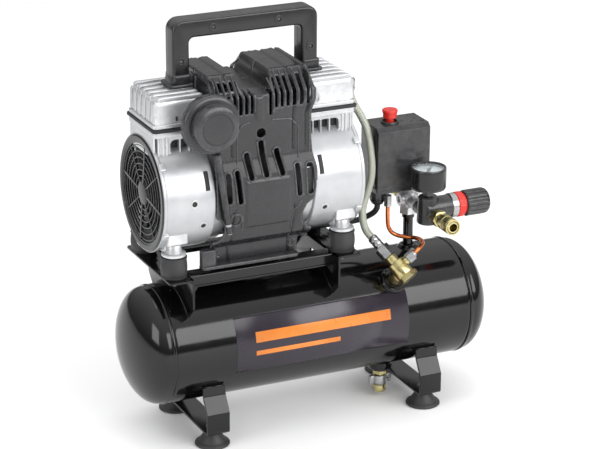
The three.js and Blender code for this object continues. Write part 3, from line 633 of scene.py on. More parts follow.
class COMPRESSOR_OT_stage(bpy.types.Operator):
    """Adds the camera, the pale floor, the surroundings and the soft lights"""

    bl_idname = "compressor.stage"
    bl_label = "Stage"

    def execute(self, context):
        s = context.scene.compressor.stage
        a, e, r = s.azimuth, s.elevation, s.roll
        back = Vector((np.sin(a) * np.cos(e), -np.cos(a) * np.cos(e), np.sin(e)))
        level = Vector((np.cos(a), np.sin(a), 0))
        above = back.cross(level)
        right = level * np.cos(r) + above * np.sin(r)
        up = back.cross(right)
        data = bpy.data.cameras.new("camera")
        data.lens, data.sensor_width = s.lens, 36.0
        data.clip_end = 50
        camera = bpy.data.objects.new("camera", data)
        context.scene.collection.objects.link(camera)
        camera.matrix_world = Matrix.Translation(Vector(s.target) + back * s.distance) @ Matrix(
            (right, up, back)).transposed().to_4x4()
        context.scene.camera = camera
        context.scene.view_settings.view_transform = "Standard"

        world = context.scene.world or bpy.data.worlds.new("studio")
        context.scene.world = world
        world.use_nodes = True
        tree = world.node_tree
        split = tree.nodes.new("ShaderNodeSeparateXYZ")
        rise = tree.nodes.new("ShaderNodeMapRange")
        tree.links.new(tree.nodes.new("ShaderNodeTexCoord").outputs["Generated"], split.inputs[0])
        tree.links.new(split.outputs["Z"], rise.inputs["Value"])
        tree.links.new(rise.outputs["Result"], tree.nodes["Background"].inputs["Strength"])
        tree.nodes["Background"].inputs["Color"].default_value = (1, 1, 1, 1)
        rise.inputs["To Min"].default_value = s.sky * 0.16
        rise.inputs["To Max"].default_value = s.sky * 1.6

        n = Nodes("pale_floor")
        n.put(n.shader, "Base Color", n.mix(n.noise(3.0), linear(250, 250, 250), linear(246, 246, 246)))
        n.put(n.shader, "Roughness", n.spread(n.noise(40.0), 0.55, 0.7))
        n.put(n.shader, "Specular IOR Level", 0.2)
        side = np.linspace(-6000, 6000, 13)
        x, y = np.meshgrid(side, side, indexing="ij")
        floor = build("studio_floor", [grid(np.stack([x, y, 0 * x - 0.4], -1))], n.material)
        floor.parent = None

        lights = (
            ("softbox_front", (0.82, -1.75, 1.12), (2.4, 1.15), s.key_power),
            ("softbox_left", (-1.9, -0.6, 0.9), (0.9, 0.9), s.key_power * 0.25),
            ("softbox_top", (0.1, 0.3, 1.9), (1.2, 0.8), s.key_power * 0.12),
        )
        for name, place, size, power in lights:
            lamp = bpy.data.lights.new(name, "AREA")
            lamp.shape = "RECTANGLE"
            lamp.size, lamp.size_y = size
            lamp.energy = power
            light = bpy.data.objects.new(name, lamp)
            context.scene.collection.objects.link(light)
            light.location = place
            light.rotation_euler = (Vector((0, 0, 0.2)) - Vector(place)).to_track_quat("-Z", "Y").to_euler()
        return {"FINISHED"}


def cord_tube(name, route, radius, turns, finish, replaces, count=160, sides=20):
    """A cord as a tube along its smooth route, with a UV map that runs along it and round it."""
    path = spline(np.array(route) + TANK * (0, 1, 0), count)
    length = np.sum(np.linalg.norm(np.diff(path, axis=0), axis=1))
    u = np.repeat(np.linspace(0, length / (FULL * radius) * turns, count), sides)
    v = np.tile(np.arange(sides) / sides * turns, count)
    piece = build(name, [pipe(path, radius, sides)], finish, replaces=replaces,
                  uv=np.stack([u, v], 1))
    return piece, path, length


class COMPRESSOR_OT_cords(bpy.types.Operator):
    """Makes the braided delivery hose and the motor lead, at their real lengths"""

    bl_idname = "compressor.cords"
    bl_label = "Hose and lead"

    def execute(self, context):
        for name, route, radius, turns, finish, node, slot, stiffness in (
            ("braided_hose", HOSE_ROUTE, 4.5, 12, FINISH["braid"], "delivery_hose", "braid", "stiff"),
            ("black_motor_lead", LEAD_ROUTE, 3.5, 2, FINISH["cable"], "motor_lead", "cable_jacket", "medium"),
        ):
            piece, path, length = cord_tube(name, route, radius, turns, finish, [node])
        return {"FINISHED"}


# ---- Tank, feet and saddle --------------------------------------------------------------------------


def tank_patch(x0, x1, low_angle, high_angle, lift, steps=48):
    """A patch of the tank's front: rows run along X, columns round the barrel, lifted off it a little."""
    x = np.linspace(x0, x1, 3)[:, None]
    angle = np.linspace(low_angle, high_angle, steps)[None, :]
    r = TANK_R + lift
    points = np.stack([x + 0 * angle, 0 * x - r * np.cos(angle), 0 * x + r * np.sin(angle)], -1)
    return grid(points)


class COMPRESSOR_OT_tank(bpy.types.Operator):
    """Makes the tank with its joggled seams and welded bosses, and its plain sticker"""

    bl_idname = "compressor.tank"
    bl_label = "Tank"

    def execute(self, context):
        s = context.scene.compressor.tank
        t = np.linspace(np.pi / 2, 0, 28)
        dome_r = TANK_R - 0.9
        dome = np.stack([dome_r * np.cos(t), SEAM_X + (TANK_END - SEAM_X) * np.sin(t)], 1)
        dome[0, 0] = 0
        bead = np.linspace(0.15 * np.pi, 0.95 * np.pi, 9)
        weld = np.stack([TANK_R - 1.1 + 1.7 * np.sin(bead), SEAM_X - 3.6 + 1.9 * np.cos(bead)], 1)
        half = np.vstack([dome, weld, [[TANK_R, SEAM_X - gap] for gap in (8, 9, 10.5, 60, 130, SEAM_X)]])
        profile = np.vstack([half, (half * (1, -1))[::-1][1:]])
        shell = face(lathe(profile, 128), "x")
        seam = [[x, (TANK_R - 0.6) * np.sin(2.4), (TANK_R - 0.6) * np.cos(2.4)]
                for x in np.linspace(-188, 188, 200)]
        ripple = 1.7 + 0.35 * np.sin(np.arange(200) * 1.9)
        build("tank_shell", [shell, pipe(seam, ripple, 12)], FINISH["tank_paint"], origin=TANK,
              replaces=["tank_barrel", "tank_end_left", "tank_end_right"], sharp=28)

        collar = [(0, -4), (16.2, -4), (16.2, 0.8), (15, 2.6), (13.4, 3.4), (13, 5.4), (12.2, 6), (7.6, 6),
                  (7.6, 1), (0, 1)]
        pipe_boss = [(0, -3), (13.5, -3), (12.6, 0.6), (10.8, 2.6), (9.8, 4), (7.1, 4.3), (7.1, 1), (0, 1)]
        drain = (low("drain_wing") + high("drain_wing")) / 2 - TANK
        drain[0] = middle("drain_valve_body")[0]
        bosses = [
            aim(lathe(collar, 64), np.array((BOSS_X, 0, 0)) + RADIAL * TANK_R, RADIAL),
            aim(lathe(pipe_boss, 64), (PIPE[0], 0, TANK_R - 0.4), (0, 0, 1)),
            aim(lathe([(0, -6), (15, -6), (14.6, 0), (13.6, 3.2), (11, 5.4), (9.4, 6), (5.2, 6), (5.2, 2),
                       (0, 2)], 56),
                (drain[0], drain[1], -TANK_R), (0, 0, -1)),
        ]
        build("tank_bosses", bosses, FINISH["tank_paint"], origin=TANK)

        x0, x1 = s.sticker_left / MM, s.sticker_right / MM
        a0, a1 = s.sticker_low, s.sticker_high
        patch = build("tank_sticker", [tank_patch(x0, x1, a0, a1, 0.12)], FINISH["sticker"], origin=TANK)
        solidify(patch, 0.1, 1.0)
        mid = (a0 + a1) / 2
        bars = [tank_patch(x0 + 24, x1 - 24, mid + 0.02, mid + 0.2, 0.2),
                tank_patch(x0 + 24, x1 - 90, mid - 0.2, mid - 0.12, 0.2)]
        solidify(build("tank_sticker_bars", bars, FINISH["orange"], origin=TANK), 0.1, 1.0)
        return {"FINISHED"}


class COMPRESSOR_OT_feet(bpy.types.Operator):
    """Makes the two bent foot strips, the four rubber feet and their nuts"""

    bl_idname = "compressor.feet"
    bl_label = "Feet"

    def execute(self, context):
        gauge = context.scene.compressor.tank.strip_gauge / MM
        for side in ("left", "right"):
            node = f"foot_bracket_{side}"
            x0, y0, z0 = low(node)
            x1, y1, z1 = high(node)
            half = (y1 - y0) / 2
            ground = z0 - TANK[2]
            right = [[0, ground], [half, ground], [half, ground + 26], [half - 11.5, ground + 44.5],
                     [half - 13, ground + 55]]
            line = rounded(right, [0, 4, 4, 6, 0], closed=False)
            line = np.vstack([(line * (-1, 1))[::-1][:-1], line])
            strip = face(slab(ribbon(line[::-1], gauge), edges(x0, x1, 0.5)), "x")
            weld = [[x, way * (half - 15.4), ground + 54.4] for way in (-1, 1) for x in (x0 + 3, x1 - 3)]
            beads = [pipe(np.linspace(weld[i], weld[i + 1], 24), 1.6 + 0.3 * np.sin(np.arange(24) * 1.7), 12)
                     for i in (0, 2)]
            build(f"foot_strip_{side}", [strip] + beads, FINISH["steel_paint"], origin=TANK,
                  replaces=[node])
            for place in ("front", "rear"):
                foot = f"rubber_foot_{place}_{side}"
                centre = middle(foot) * (1, 1, 0)
                tall, wide = high(foot)[2], (high(foot) - low(foot))[0] / 2
                t = np.linspace(0, 1, 9)
                flank = np.stack([wide - 0.6 - (wide - 10.6) * t**0.8, 3.2 + (tall - 6.5) * t**1.25], 1)
                profile = [(0, 3), (6, 3), (7, 0), (wide - 1, 0), (wide, 0.9), (wide, 2.2), *flank,
                           (10.2, tall - 1), (9.6, tall), (0, tall)]
                build(f"rubber_cone_{place}_{side}", [aim(lathe(profile, 64), centre, (0, 0, 1))],
                      FINISH["rubber"],
                      replaces=[foot])
                top = centre + (0, 0, z0 + gauge + 0.1)
                washer = lathe([(0, 0), (7.5, 0), (7.5, 1.1), (0, 1.1)], 36)
                shapes = [aim(s, top, (0, 0, 1))
                          for s in [washer] + [shift(p, (0, 0, 1.1)) for p in nut(10, 4.6, 3)]]
                build(f"foot_nut_{place}_{side}", shapes, FINISH["steel"])
        return {"FINISHED"}


class COMPRESSOR_OT_saddle(bpy.types.Operator):
    """Makes the two cross brackets, the rails with their gussets and the four rubber mounts"""

    bl_idname = "compressor.saddle"
    bl_label = "Saddle and mounts"

    def execute(self, context):
        sheet, depth = 2.5, 68.0
        top = SADDLE_TOP - TANK[2]
        reach = TANK_R + 0.7
        start = np.arccos(52 / reach)
        arc = np.linspace(start, np.pi - start, 40)
        foot = np.stack([reach * np.cos(arc), reach * np.sin(arc)], 1)[::-1]
        outline = np.vstack([foot, rounded([[52, foot[-1, 1]], [depth, top - 35], [depth, top], [-depth, top],
                                            [-depth, top - 35], [-52, foot[0, 1]]], [0, 5, 0, 0, 5, 0])[1:-1]])
        oval = rounded([[-7, -3.5], [7, -3.5], [7, 3.5], [-7, 3.5]], 3.45, 8) + (2.6, top - 18)
        x_left, x_right = low("pump_saddle")[0], high("pump_saddle")[0]
        for side, flange, outer in ((-1, -166.0, x_left), (1, 13.4, x_right)):
            near, far = sorted((flange, flange + side * sheet))
            upright = face(slab(outline, edges(near, far, 0.4), holes=[oval]), "x")
            a0, a1 = sorted((flange, outer))
            holes = [circle(4.2, 24, (PUMP[0] + side * 105, way * 46)) for way in (-1, 1)]
            plate = slab(oblong(a0, a1, -depth, depth, 4), edges(top - sheet, top, 0.4), holes=holes)
            bead = [[flange + side * sheet * 0.5, y, z] for y, z in foot * (reach + 0.2) / reach]
            weld = pipe(spline(bead, 120), 1.9 + 0.3 * np.sin(np.arange(120) * 1.9), 12)
            word = "left" if side < 0 else "right"
            build(f"saddle_bracket_{word}", [upright, plate, weld], FINISH["steel_paint"], origin=TANK,
                  replaces=["pump_saddle"] if side > 0 else ())
        for word, way in (("front", FRONT), ("rear", REAR)):
            edge = way * 53
            line = rounded([[edge, top - 14], [edge, top], [edge - way * 18, top]], [0, 3, 0], closed=False)
            rail = face(slab(ribbon(line[::-way], sheet), edges(-166.8, 14.2, 0.5)), "x")
            near, far = sorted((edge, edge + way * 1.4))
            lip = block((-166, near, top - 14.4), (13.6, far, top - 12.4), 0.6, 0.4, "x")
            gussets = [face(slab(rounded([[x, top - 14], [x + 9 * s, top - 14], [x, top - 26]], 0.6), edges(
                edge - way * 3, edge - way * 0.8, 0.3)), "y") for x, s in ((-163.2, 1), (13.2, -1))]
            build(f"saddle_rail_{word}", [rail, lip] + gussets, FINISH["steel_paint"], origin=TANK)
        for side in ("left", "right"):
            for place in ("front", "rear"):
                node = f"rubber_mount_{place}_{side}"
                base = middle(node) * (1, 1, 0) + (0, 0, low(node)[2])
                tall = (high(node) - low(node))[2]
                t = np.linspace(0, 1, 15)
                profile = [(0, 0), (15.0, 0), (15.2, 1.4),
                           *np.stack([14.2 + 1.1 * np.sin(np.pi * t), 2 + (tall - 4) * t], 1),
                           (15.2, tall - 1.4), (15.0, tall), (0, tall)]
                build(f"mount_{place}_{side}", [aim(lathe(profile, 56), base, (0, 0, 1))], FINISH["rubber"],
                      replaces=[node])
                under = [aim(p, base - (0, 0, 3.1), (0, 0, -1)) for p in nut(12, 6, 3.4)]
                above = [aim(p, base + (0, 0, tall + 3.4), (0, 0, 1)) for p in nut(12, 6, 3.4)]
                build(f"mount_nuts_{place}_{side}", under + above, FINISH["steel"])
        return {"FINISHED"}


# ---- Pump -------------------------------------------------------------------------------------------


# Tapped holes in a case: distance along its axis, degrees below its side line, radius.
CASE_HOLES = ((87.4, -2.1, 3.1), (75.3, 22.7, 2.9))


def casting_shapes(side):
    """A case with its outer bead and inner spigot, the cylinder block with its windows, and four-sided legs."""
    e = CASE_END
    wall = [(62.4, 46), (62.4, 60.4), (63.4, 61), (65.5, 61.3), (66.6, 62.5), (66.9, 70), (CASE_R, e - 9),
            (CASE_R + 0.2, e - 4.4),
            (CASE_R + 1.1, e - 3.6), (CASE_R + 1.2, e - 0.8), (CASE_R + 0.6, e), (63.4, e), (63, e - 1),
            (62.6, 67), (57, 62),
            (56.8, 51.5), (6.6, 51), (6.6, 46)]
    ring = rounded(wall, 1.0, 3)
    shapes = [face(lathe(ring, 144, ring=True), "x")]
    u0, u1 = CYLINDER_U - BLOCK_HALF, CYLINDER_U + BLOCK_HALF
    windows = [oblong(u0 + a, u0 + b, 54.5, 70.5, 0.6) for a, b in ((1.6, 9), (11.2, 19), (21.2, 29.8))]
    windows.append(rounded([[u0 + 32.2, 54.5], [u0 + 42.4, 54.5], [u0 + 42.4, 70.5], [u0 + 32.2, 70.5]],
                           [0.6, 7, 7, 0.6]))
    for way in (FRONT, REAR):
        y0, y1 = between(way, 31, 38)
        outline = rounded([[u0, 40], [u1 - 5, 40], [u1 - 5, 74], [u1 - 2, 78], [u1 - 2, BLOCK_TOP - 2],
                           [u0, BLOCK_TOP - 2]],
                          [0, 0, 2, 1, 0, 0])
        shapes.append(face(slab(outline, edges(y0, y1, 1.2), holes=windows), "y"))
        ribs = [(u0 + 47, 1.6), (u0 + 51.5, 1.6), (u0 + 57, 1.2)]
        y0, y1 = between(way, 36, 39.4)
        shapes += [block((u - w, y0, 47), (u + w, y1, 75), 1.2, 0.8) for u, w in ribs]
        leg = rounded([[93, -12], [113.5, -12], [116.4, -40], [116.4, -47], [92.4, -47], [92.4, -40]],
                      [3, 3, 2, 1, 1, 2])
        y0, y1 = between(way, 30, 57.4)
        shapes.append(face(slab(leg, edges(y0, y1, 1.2)), "y"))
        y0, y1 = between(way, 28, 45)
        shapes.append(block((95, y0, -60.4), (115, y1, -40), 3, 1.2))
        shapes.append(shift(lathe([(0, -61.9), (13.6, -61.9), (14, -61.2), (14, -59.4), (13.2, -58.6),
                                   (9.6, -58), (9, -56), (8.6, -49.6),
                                   (7.8, -48.6), (5.4, -48.6), (5.2, -50), (0, -50)], 48), (105, way * 46, 0)))
    shapes.append(slab(oblong(u0, u1, -40, 40, 5), edges(BLOCK_TOP - 6.6, BLOCK_TOP, 1.0),
                       holes=[circle(24, 48, (CYLINDER_U, 0))]))
    shapes.append(block((u1 - 3.2, -36, 50), (u1 - 0.8, 36, BLOCK_TOP - 2), 2, 0.6))
    for angle in (0.35, 1.6, 2.9, 4.2, 5.4):
        lug = shift(block((e - 8, -4.4, -3), (e - 0.6, 4.4, 3.4), 2, 1), (0, 0, CASE_R))
        shapes.append(spin(lug, "x", angle + 0.5))
    for way in (FRONT, REAR):
        for u, down, r in CASE_HOLES[side > 0:]:
            direction = np.array((0, way * np.cos(np.radians(down)), -np.sin(np.radians(down))))
            ring = lathe(rounded([(r, -4), (r, 0.6), (r + 1.8, 0.6), (r + 2.6, -4)], 0.4, 2), 32, ring=True)
            shapes.append(aim(ring, np.array((u, 0, 0)) + direction * CASE_R, direction))
    return [mirror(s, side) for s in shapes]


def painted_shade_marks(side):
    """Painted shade: dark sheets inside a cylinder block, over the mouths of its case's tapped holes, along its
    cooling slot and on the case behind the cover's slots.
    """
    u0, u1 = CYLINDER_U - BLOCK_HALF, CYLINDER_U + BLOCK_HALF
    # A dark box inside the cylinder block: painted shade seen through its windows.
    shapes = [slab(oblong(u0 + 1, u1 - 3.4, -30.5, 30.5, 1), edges(54, BLOCK_TOP - 7, 0.5),
                   holes=[circle(25.4, 48, (CYLINDER_U, 0))])]
    for way in (FRONT, REAR):
        for u, down, r in CASE_HOLES[side > 0:]:
            direction = np.array((0, way * np.cos(np.radians(down)), -np.sin(np.radians(down))))
            # Dark discs over the tapped holes' mouths: painted shade in the holes.
            cup = lathe([(0, 0.3), (r, 0.3), (r, -0.6), (0, -0.6)], 28)
            shapes.append(aim(cup, np.array((u, 0, 0)) + direction * CASE_R, direction))
        # A dark tube along the cooling slot: painted shade in the slot.
        angle = np.radians(np.linspace(13.5, 32.5, 16))
        line = np.stack([70.4 + 0 * angle, way * (CASE_R - 3.7) * np.cos(angle),
                         (CASE_R - 3.7) * np.sin(angle)], 1)
        shapes.append(pipe(line, 4.5, 16))
        # Dark strips on the case behind the cover's slots: painted shade seen through them.
        for y, z0, z1 in ((61.0, -6, 24), (56.4, 24, 33)):
            near, far = between(way, y, y + 1.7)
            shapes.append(block((47, near, z0), (60.4, far, z1), 0.5, 0.3))
    return [mirror(s, side) for s in shapes]


def head_shapes(side, fins):
    """A drafted block on a flange, with rounded ridges along its top that run down its outer end as ribs."""
    u0, u1 = CYLINDER_U - BLOCK_HALF, CYLINDER_U + BLOCK_HALF
    body_top = HEAD_HIGH - 4.6
    draft = [(0.0, HEAD_LOW + 4), (0.9, body_top - 6), (1.3, body_top - 2.4), (2.2, body_top - 0.7),
             (4, body_top)]
    shapes = [
        slab(oblong(u0, u1, -40, 40, 5), edges(HEAD_LOW, HEAD_LOW + 4.6, 0.9)),
        slab(oblong(u0 + 1.2, u1 - 2.4, -38.4, 38.4, 4), draft),
    ]
    ways = np.linspace(-34, 34, fins)
    for y in ways:
        line = rounded([[u0 + 3, body_top - 1.5], [u1 - 6, body_top - 1.5], [u1 - 6, HEAD_HIGH - 1.2],
                        [u1 - 9, HEAD_HIGH], [u0 + 6, HEAD_HIGH], [u0 + 3, HEAD_HIGH - 1.2]], 1.4, 4)
        shapes.append(face(slab(line, edges(y - 3.1, y + 3.1, 1.7, 5)), "y"))
        rib = rounded([[u1 - 5, HEAD_LOW + 5], [u1 - 1, HEAD_LOW + 5], [u1 - 1.8, body_top - 3],
                       [u1 - 5, HEAD_HIGH - 2]], 1.2)
        shapes.append(face(slab(rib, edges(y - 2.2, y + 2.2, 0.9)), "y"))
    for u in (u0 + 8.5, u1 - 10):
        for y in ((ways[0] + ways[1]) / 2, (ways[-1] + ways[-2]) / 2):
            shapes += [shift(s, (u, y, body_top - 0.6)) for s in screw(3.4, 3.0)]
    return [mirror(s, side) for s in shapes]


def grille_shapes(side, spokes, rings):
    """A rim, a domed hub, thin rings and radial spokes, all facing outwards."""
    start, end = CASE_END + 0.3, high("fan_grille_right")[0] - PUMP[0]
    rim = rounded([(57.4, start), (57.4, end - 2.6), (60, end - 0.4), (65, end), (67.4, end - 1.6),
                   (67.5, start)], 1.0, 3)
    shapes = [lathe(rim, 128, ring=True)]
    t = np.linspace(0, np.pi / 2, 8)
    hub = [(0, end - 5.5), (14, end - 5.5), (14, end - 2.4),
           *np.stack([13.4 * np.cos(t), end - 2.2 + 1.6 * np.sin(t)], 1)]
    hub[-1] = (0, end - 0.6)
    shapes.append(lathe(hub, 64))
    for i in range(rings):
        r = 19.5 + i * (55.0 - 19.5) / max(rings - 1, 1)
        section = rounded([(r - 0.7, end - 4.4), (r + 0.7, end - 4.4), (r + 0.7, end - 2), (r - 0.7, end - 2)],
                          0.4, 2)
        shapes.append(lathe(section, 96, ring=True))
    shapes = [face(s, "x") for s in shapes]
    for i in range(spokes):
        wide = 1.5 if i % 2 == 0 else 0.8
        spoke = block((end - 4.8, -wide, 12), (end - 1.6, wide, 59.5), 0.6, 0.4)
        shapes.append(spin(spoke, "x", i * FULL / spokes + 0.16))
    return [mirror(s, side) for s in shapes]


def fan_shapes(side, blades=9):
    """Twisted blades round a hub: each blade's pitch falls from its root to its tip."""
    middle_u = 109.0
    shapes = [face(shift(lathe([(6.4, -5), (13, -5), (13.5, 5), (6.4, 5)], 48, ring=True), (0, 0, middle_u)),
                   "x")]
    r = np.linspace(12.5, 52, 12)[:, None]
    s = np.linspace(-1, 1, 9)[None, :]
    pitch = np.radians(52 - 22 * (r - 12) / 40)
    chord = 7.5 + 3.5 * (r - 12) / 40
    sheet = np.stack([middle_u + chord * s * np.cos(pitch) * 0.62, chord * s * np.sin(pitch) + 0 * r,
                      r + 0 * s], -1)
    for i in range(blades):
        near, faces = grid(sheet)
        far = near + (0.9, 0.5, 0)
        count = len(near)
        top = [[j + count for j in f][::-1] for f in faces]
        rows, columns = 12, 9
        loop = [*range(columns), *[columns * (k + 1) - 1 for k in range(1, rows)],
                *range(rows * columns - 2, (rows - 1) * columns - 1, -1),
                *[columns * k for k in range(rows - 2, 0, -1)]]
        rim = [[loop[k], loop[(k + 1) % len(loop)], loop[(k + 1) % len(loop)] + count, loop[k] + count]
               for k in range(len(loop))]
        shapes.append(spin((np.vstack([near, far]), faces + top + rim), "x", i * FULL / blades))
    return [mirror(s, side) for s in shapes]


class COMPRESSOR_OT_castings(bpy.types.Operator):
    """Makes the crankcases, gasket plates, heads, plugs and leg studs, and dark marks painted as shade in the
    cases' openings
    """

    bl_idname = "compressor.castings"
    bl_label = "Crankcases and heads"

    def execute(self, context):
        fins = context.scene.compressor.pump.head_fins
        for word, side in (("left", -1), ("right", 1)):
            build(f"pump_case_{word}", casting_shapes(side), FINISH["casting"], origin=PUMP,
                  replaces=[f"crankcase_{word}"], sharp=40)
            # Gasket-black marks painted as shade in the case's openings.
            build(f"case_openings_{word}", painted_shade_marks(side), FINISH["gasket"], origin=PUMP)
            build(f"head_{word}", head_shapes(side, fins), FINISH["casting"], origin=PUMP,
                  replaces=[f"cylinder_head_{word}"], sharp=40)
            u0, u1 = CYLINDER_U - 31.9, CYLINDER_U + 33
            z0, z1 = low(f"valve_plate_{word}")[2] - PUMP[2], high(f"valve_plate_{word}")[2] - PUMP[2]
            plate = slab(oblong(u0, u1, -42, 42, 4), edges(z0, z1, 0.5))
            build(f"gasket_plate_{word}", [mirror(plate, side)], FINISH["gasket"], origin=PUMP,
                  replaces=[f"valve_plate_{word}"])
            plug_u = side * CYLINDER_U + (-19.5 if side > 0 else 16)
            face_y = -38.6
            ring = lathe(rounded([(4.2, -1), (4.2, 1.0), (6.4, 1.0), (6.8, -1)], 0.4, 2), 40, ring=True)
            cup = lathe([(0, 0.2), (4.3, 0.2), (4.3, -1), (0, -1)], 40)
            if side > 0:
                plug = [aim(s, (plug_u, face_y, HEAD_LOW + 12.5), (0, -1, 0)) for s in (ring, cup)]
                build("head_plug_right", plug, FINISH["steel"], origin=PUMP)
            else:
                slot_mark = face(slab(oblong(-1.2, 1.2, -2.6, 2.6, 1.1), edges(-0.3, 0.6, 0.1)), "y")
                slot_mark = shift(slot_mark, (-96.4, face_y - 0.2, HEAD_LOW + 10))
                build("head_slot_left", [slot_mark], FINISH["gasket"], origin=PUMP)
        return {"FINISHED"}


class COMPRESSOR_OT_fans(bpy.types.Operator):
    """Makes the fan grilles with their bright rims, and the fans on the shaft"""

    bl_idname = "compressor.fans"
    bl_label = "Grilles and fans"

    def execute(self, context):
        s = context.scene.compressor.pump
        for word, side in (("left", -1), ("right", 1)):
            build(f"grille_{word}", grille_shapes(side, s.grille_spokes, s.grille_rings), FINISH["plastic"],
                  origin=PUMP,
                  replaces=[f"fan_grille_{word}"])
            build(f"fan_{word}", fan_shapes(side), FINISH["gasket"], body="shaft", origin=PUMP,
                  replaces=[f"cooling_fan_{word}"])
        return {"FINISHED"}


# The motor cover's section, as (distance from the middle, height), from its top seam to its lower edge.
COVER_LINE = [[0.2, 139.5], [38, 139.5], [60, 117], [60, 44], [65.4, 24], [66, 8], [66, -20], [57, -52],
              [47, -60], [45, -82]]

# Slots of the cover: both ends of each slot's middle line, as (across, height), and its radius. The last is a
# round hole without a lip.
COVER_SLOTS = [
    ((-21.7, 48.8), (-17.4, 23.4), 3.8), ((-4.1, 61.3), (1, 24.4), 3.8), ((15.1, 49.6), (20.7, 23.9), 3.8),
    ((-46.1, 28.7), (-44.4, -1.1), 3.5), ((-34.5, 30.6), (-31, -3.1), 3.5), ((39.3, 29.7), (42, -3), 3.5),
    ((53.2, 28.6), (54.6, -3), 3.2), ((-3.3, 72.7), (-3.2, 72.6), 5.6),
]
LIPPED_SLOTS = len(COVER_SLOTS) - 1

# Louvres of the cover: distance across, lower and upper height, radius.
COVER_LOUVRES = [(u, 102 if u > 12 else 94, 131, 2.1) for u in (8.6, 15.6, 22.6, 29.6, 36.6, 43.6, 50.6)] + [
    (u, 118 if u < -40 else 98, 131, 2.1) for u in (-56, -49, -42, -35, -28, -21, -14.4)]

# Raised lines on the motor cover, as points across it and up it.
COVER_TRACKS = (
    [[10, 87], [33, 85], [42, 75], [42, 38]], [[-18, 87], [-28, 84], [-33, 74], [-33, 40]],
    [[44, -12], [36, -22], [34, -34], [34, -58], [44, -66]],
    [[-36, -12], [-28, -22], [-28, -38], [-36, -50], [-44, -62]],
    [[56, 44], [56, 96]],
)


def cover_point(u, s, line, way):
    """Point of the cover at u across and s along its section, moved by its panel, humps and grooves."""
    reach = np.concatenate([[0], np.cumsum(np.linalg.norm(np.diff(line, axis=0), axis=1))])
    y, z = np.interp(s, reach, line[:, 0]), np.interp(s, reach, line[:, 1])
    step = 1.5
    dy = np.interp(s + step, reach, line[:, 0]) - np.interp(s - step, reach, line[:, 0])
    dz = np.interp(s + step, reach, line[:, 1]) - np.interp(s - step, reach, line[:, 1])
    size = np.maximum(np.hypot(dy, dz), 1e-6)
    humps = smooth(u, -64, -58) - smooth(u, -28, -22) + smooth(u, 9, 15) - smooth(u, 56, 61)
    z = np.where(z > 117, 117 + (z - 117) * (0.12 + 0.88 * humps), z)
    push = -3.2 * smooth(np.abs(u), 55.5, 60.5) ** 2
    push = push * smooth(z, 40, 60)
    panel = (smooth(u, -24.6, -23.4) - smooth(u, 29.2, 30.4)) * (smooth(z, -36.5, -35) - smooth(z, 18.6, 20))
    push = push + 1.4 * panel
    rib = (smooth(u, -10, -8.6) - smooth(u, -1.6, -0.2)) * (smooth(z, 87, 89) - smooth(z, 114, 116))
    push = push + 1.6 * rib
    for at in (-39, 36, 51.5):
        push = push - 1.7 * np.exp(-((u - at) / 1.3) ** 2) * (smooth(z, 46, 50) + 1 - smooth(z, -16, -12))
    wide = u + 6 * smooth(u, 25, 60) * smooth(z, 88, 106)
    wide = wide + 4 * smooth(u, 48, 60) * (smooth(z, -12, 4) - smooth(z, 22, 44))
    return np.stack([wide, way * (y - push * dz / size), z + push * dy / size], -1)


